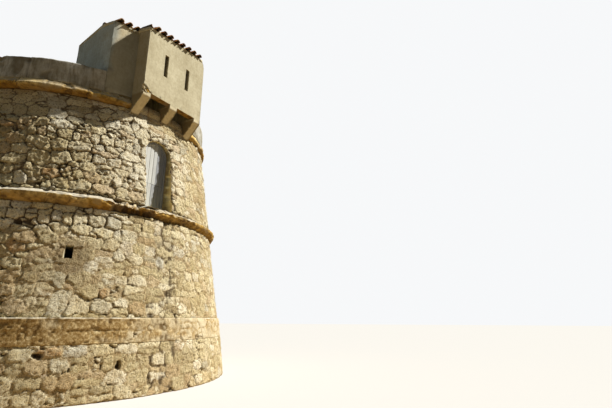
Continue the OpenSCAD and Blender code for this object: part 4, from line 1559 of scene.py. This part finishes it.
def tile_slope(name, node, sign, seed):
    """Under and over tiles on one slope of the roof."""
    rng = np.random.default_rng(seed)
    bodies, mortar = Bodies(), []
    pitch = ROOF.pitch if sign > 0 else ROOF.rear_pitch
    down = Vector((0, -sign, -pitch)).normalized()
    up = Vector((-ROOF.rise, -sign * pitch, 1)).normalized()
    start, stop = -HEAD_LEFT + 0.05, BOX_HALF - VERGE_W
    columns = int((stop - start - 2 * COVER_R) / TILE_PITCH) + 1
    spacing = (stop - start - 2 * COVER_R) / (columns - 1)
    for c in range(2 * columns - 1):
        x = start + COVER_R + c * spacing / 2
        hollow = c % 2 == 1
        wide, lift, back = (PAN_R, PAN_LIFT, PAN_BACK) if hollow else (COVER_R, COVER_LIFT, -COVER_OUT)
        edge = ROOF.front_edge(x) if sign > 0 else ROOF.rear_n
        run = abs(edge - ROOF.ridge_n) * math.hypot(1, pitch)
        if hollow and sign > 0:
            place = Vector((x, -edge + MORTAR_BACK, ROOF.under(x, edge) + 0.02))
            mortar.append(lump("mortar", place, MORTAR_SIZE, seed + c, 0.3))
            put_marks(mortar[-1])
        rows = max(1, round(run / TILE_SHOWN))
        for k in range(rows):
            reach = run - k * (run / rows)
            slip = rng.uniform(-0.018, 0.022) + back if k == 0 else rng.uniform(0, 0.02)
            origin = Vector((x + rng.uniform(-0.009, 0.009), -ROOF.ridge_n, ROOF.under(x, ROOF.ridge_n)))
            origin = origin + down * (reach - slip)
            origin = origin + up * (BED + lift + rng.uniform(-0.005, 0.005))
            lean = Vector((rng.uniform(-0.03, 0.03), 0, 0))
            add_tile(
                bodies, origin, (down + lean).normalized(), (up + down * 0.03).normalized(),
                wide, wide * 0.8, min(TILE_LENGTH, reach), float(rng.uniform(0, 1)), hollow,
            )
    finish_piece(bodies.marked(name), "roof_tile", node)
    if mortar:
        finish_piece(joined("eave_mortar", mortar), "box_plaster")


def roof_outline():
    """Rim of the walls under the roof, as places, right round from the right back."""
    right = BOX_HALF - TOP_ROUND
    line = [(right, HEAD_BACK), (right, ROOF.ridge_n), (right, BOX_FRONT), (-BOX_HALF, BOX_FRONT)]
    steps = 10
    for k in range(steps + 1):
        x = -BOX_HALF - (HEAD_LEFT - BOX_HALF) * k / steps
        line.append((x, math.sqrt(PARAPET_R**2 - x * x) - float(head_dish(x))))
    return line + [(-HEAD_LEFT, ROOF.ridge_n), (-HEAD_LEFT, HEAD_BACK)]


def build_roof_bed():
    """Boards and mortar under the tiles, flush with the walls."""
    line = roof_outline()
    front = [row for row in line if row[1] >= ROOF.ridge_n - 1e-6]
    rear = [row for row in line if row[1] <= ROOF.ridge_n + 1e-6]
    bed = Bodies()
    for part in (front, rear):
        bed.loft([[(x, -n, ROOF.under(x, n) + top) for x, n in part] for top in (0.0, BED)])
    finish_piece(bed.marked("roof_bed"), "box_plaster")


def build_verges():
    """Rounded plaster along the roof's right edge, and a low one along the left."""
    verges = Bodies()
    parts, steps, sunk = 7, 24, 0.06
    for outer_x, width, high, n_from, n_to in (
        (BOX_HALF - VERGE_OUT, VERGE_OUT - VERGE_W - 0.02, 0.085, HEAD_BACK, BOX_FRONT),
        (-HEAD_LEFT, 0.10, 0.10, HEAD_BACK, HEAD_VERGE_END),
        (-BOX_HALF, 0.07, 0.12, BOX_VERGE_START, BOX_FRONT),
    ):
        sections = []
        for n in np.linspace(n_from, n_to, steps + 1):
            sway = 0.006 * float(noise(np.array([outer_x, n, 9.0]), 0.3, 231))
            end = min(1.0, (n_to - n) / 0.10 + 0.35, (n - n_from) / 0.10 + 0.35)
            section = [(outer_x, -n, ROOF.under(outer_x, n) - sunk)]
            for k in range(1, parts + 1):
                a = 0.5 * math.pi * k / parts
                x = outer_x + width * (1 - math.cos(a))
                section.append((x, -n, ROOF.under(x, n) + (high + sway) * math.sin(a) * end))
            inner_x = outer_x + width
            section.append((inner_x, -n, ROOF.under(inner_x, n) - sunk))
            sections.append(section)
        verges.loft(sections)
    finish_piece(verges.marked("roof_verges", smooth_faces=True), "box_plaster")


def build_ridge():
    rng = np.random.default_rng(303)
    bodies = Bodies()
    start, stop = -HEAD_LEFT + 0.03, BOX_HALF - 0.02
    count = math.ceil((stop - start) / TILE_SHOWN)
    step = (stop - start) / count
    along = Vector((1, 0, ROOF.rise)).normalized()
    up = Vector((-ROOF.rise, 0, 1)).normalized()
    for k in range(count):
        x = start + (k + 1) * step
        origin = Vector((x, -ROOF.ridge_n, ROOF.under(x, ROOF.ridge_n) + CREST_LIFT))
        length = step + (0.05 if k else 0.0)
        tone = float(rng.uniform(0, 1))
        add_tile(bodies, origin, along, up, PAN_R, PAN_R * 0.88, length, tone, False)
    finish_piece(bodies.marked("ridge_tiles"), "roof_tile")


def build_roof():
    tile_slope("roof_tiles_front", "roof_front", 1, 301)
    tile_slope("roof_tiles_rear", "roof_rear", -1, 302)
    build_roof_bed()
    build_verges()
    build_ridge()


# Door
PLANKS = 6
PLANK_GAP = 0.003
SEAM_Z = 5.2
SEAM_GAP = 0.004
LEAF_SET_BACK = 0.032
# How pale each plank is, under the seam and over it: the right ones are darker, painted shade
# where the jamb's shadow falls
PLANK_SHADE_PAINT = ((1.0, 1.0, 0.85, 0.3, 0.0, 0.0), (1.0, 1.0, 1.0, 0.8, 0.2, 0.0))


def build_door():
    low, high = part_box("door_leaf")
    half = (high.x - low.x) / 2
    width = 2 * half / PLANKS
    rng = np.random.default_rng(401)
    bodies = Bodies()
    for k, part in product(range(PLANKS), (0, 1)):
        x0 = DOOR_X - half + k * width + PLANK_GAP
        x1 = x0 + width - 2 * PLANK_GAP
        y = low.y + LEAF_SET_BACK + rng.uniform(0.0, 0.006) + 0.004 * part
        # The plank's own tone varies at random, times the painted shade.
        tone = float(rng.uniform(0.93, 1)) * PLANK_SHADE_PAINT[part][k]
        if part == 0:
            foot = FLOOR_Z + 0.008
            head = [(x1, SEAM_Z - SEAM_GAP), (x0, SEAM_Z - SEAM_GAP)]
        else:
            foot = SEAM_Z + SEAM_GAP
            across = [x1 + (x0 - x1) * s / 6 for s in range(7)]
            head = [(x, DOOR_SPRING_Z + math.sqrt(max(half**2 - (x - DOOR_X) ** 2, 0))) for x in across]
        line = [(x0, foot), (x1, foot), *head]
        bodies.loft([[(x, at, z) for x, z in line] for at in (y, high.y)], tone)
    piece = bodies.marked("door_planks")
    modified(piece, "BEVEL", width=PLANK_GAP, segments=1)
    finish_piece(piece, "door_wood", "door_leaf")


build_plinth()
build_lower_wall()
build_upper_wall()
build_cordons()
build_parapet()
build_box_sill()
build_plaster()
build_roof()
build_door()


# Stage, light and camera
FLOOR_HALF = 120.0
FLOOR_DROP = 0.004
# Light thrown up by the ground is warm by the tower and dark beyond, between these distances
GROUND_NEAR, GROUND_FAR = 9.0, 17.0


def build_stage():
    corners = [(x, y, -FLOOR_DROP) for x, y in (
        (-FLOOR_HALF, -FLOOR_HALF), (FLOOR_HALF, -FLOOR_HALF),
        (FLOOR_HALF, FLOOR_HALF), (-FLOOR_HALF, FLOOR_HALF),
    )]
    floor = new_object("floor", corners, [[0, 1, 2, 3]], smooth_faces=False)
    m = material("pale_floor")
    m.tree.nodes.remove(m.tree.nodes["Principled BSDF"])
    reach = m.add("VectorMath", {0: m.place}, operation="LENGTH").outputs["Value"]
    far = m.span(reach, GROUND_NEAR, GROUND_FAR)
    ground = m.mix(far, (0.48, 0.345, 0.18), (0.095, 0.066, 0.032))
    pale = m.add("BsdfDiffuse", {"Color": (0.71, 0.705, 0.69, 1.0)})
    warm = m.add("BsdfDiffuse", {"Color": ground})
    m.show(pale.outputs["BSDF"], warm.outputs["BSDF"])
    floor.data.materials.append(m.owner)

    world = bpy.data.worlds.new("studio")
    bpy.context.scene.world = world
    m = Nodes(world)
    m.tree.nodes.remove(m.tree.nodes["Background"])
    backdrop = m.add("Background", {"Color": (0.93, 0.94, 0.95, 1.0), "Strength": 1.0})
    sky = m.add("Background", {"Color": (0.66, 0.84, 1.0, 1.0), "Strength": 0.11})
    m.show(backdrop.outputs["Background"], sky.outputs["Background"])


SUN_FROM = Vector((0.517, -0.444, 0.731))
SUN_STRENGTH = 5.6
SUN_SPREAD_DEGREES = 2.0


def build_light():
    lamp = bpy.data.lights.new("key", "SUN")
    lamp.energy = SUN_STRENGTH
    lamp.angle = math.radians(SUN_SPREAD_DEGREES)
    lamp.color = (1.0, 0.955, 0.88)
    key = bpy.data.objects.new("key", lamp)
    key.rotation_euler = SUN_FROM.to_track_quat("Z", "Y").to_euler()
    bpy.context.scene.collection.objects.link(key)


CAMERA_AT = Vector((-7.380, -12.740, 1.62))
CAMERA_TOWARDS = (0.87147, 0.49045)
CAMERA_PITCH_DEGREES = 15.75
LENS_MM = 24.0
SENSOR_MM = 36.0


def build_camera():
    view = bpy.data.cameras.new("camera")
    view.lens = LENS_MM
    view.sensor_width = SENSOR_MM
    view.sensor_fit = "HORIZONTAL"
    view.clip_end = 500.0
    eye = bpy.data.objects.new("camera", view)
    eye.location = CAMERA_AT
    pitch = math.radians(CAMERA_PITCH_DEGREES)
    forward = Vector((
        CAMERA_TOWARDS[0] * math.cos(pitch), CAMERA_TOWARDS[1] * math.cos(pitch), math.sin(pitch)
    ))
    eye.rotation_euler = (-forward).to_track_quat("Z", "Y").to_euler()
    bpy.context.scene.collection.objects.link(eye)
    bpy.context.scene.camera = eye


build_stage()
build_light()
build_camera()
bpy.context.scene.view_settings.view_transform = "Standard"
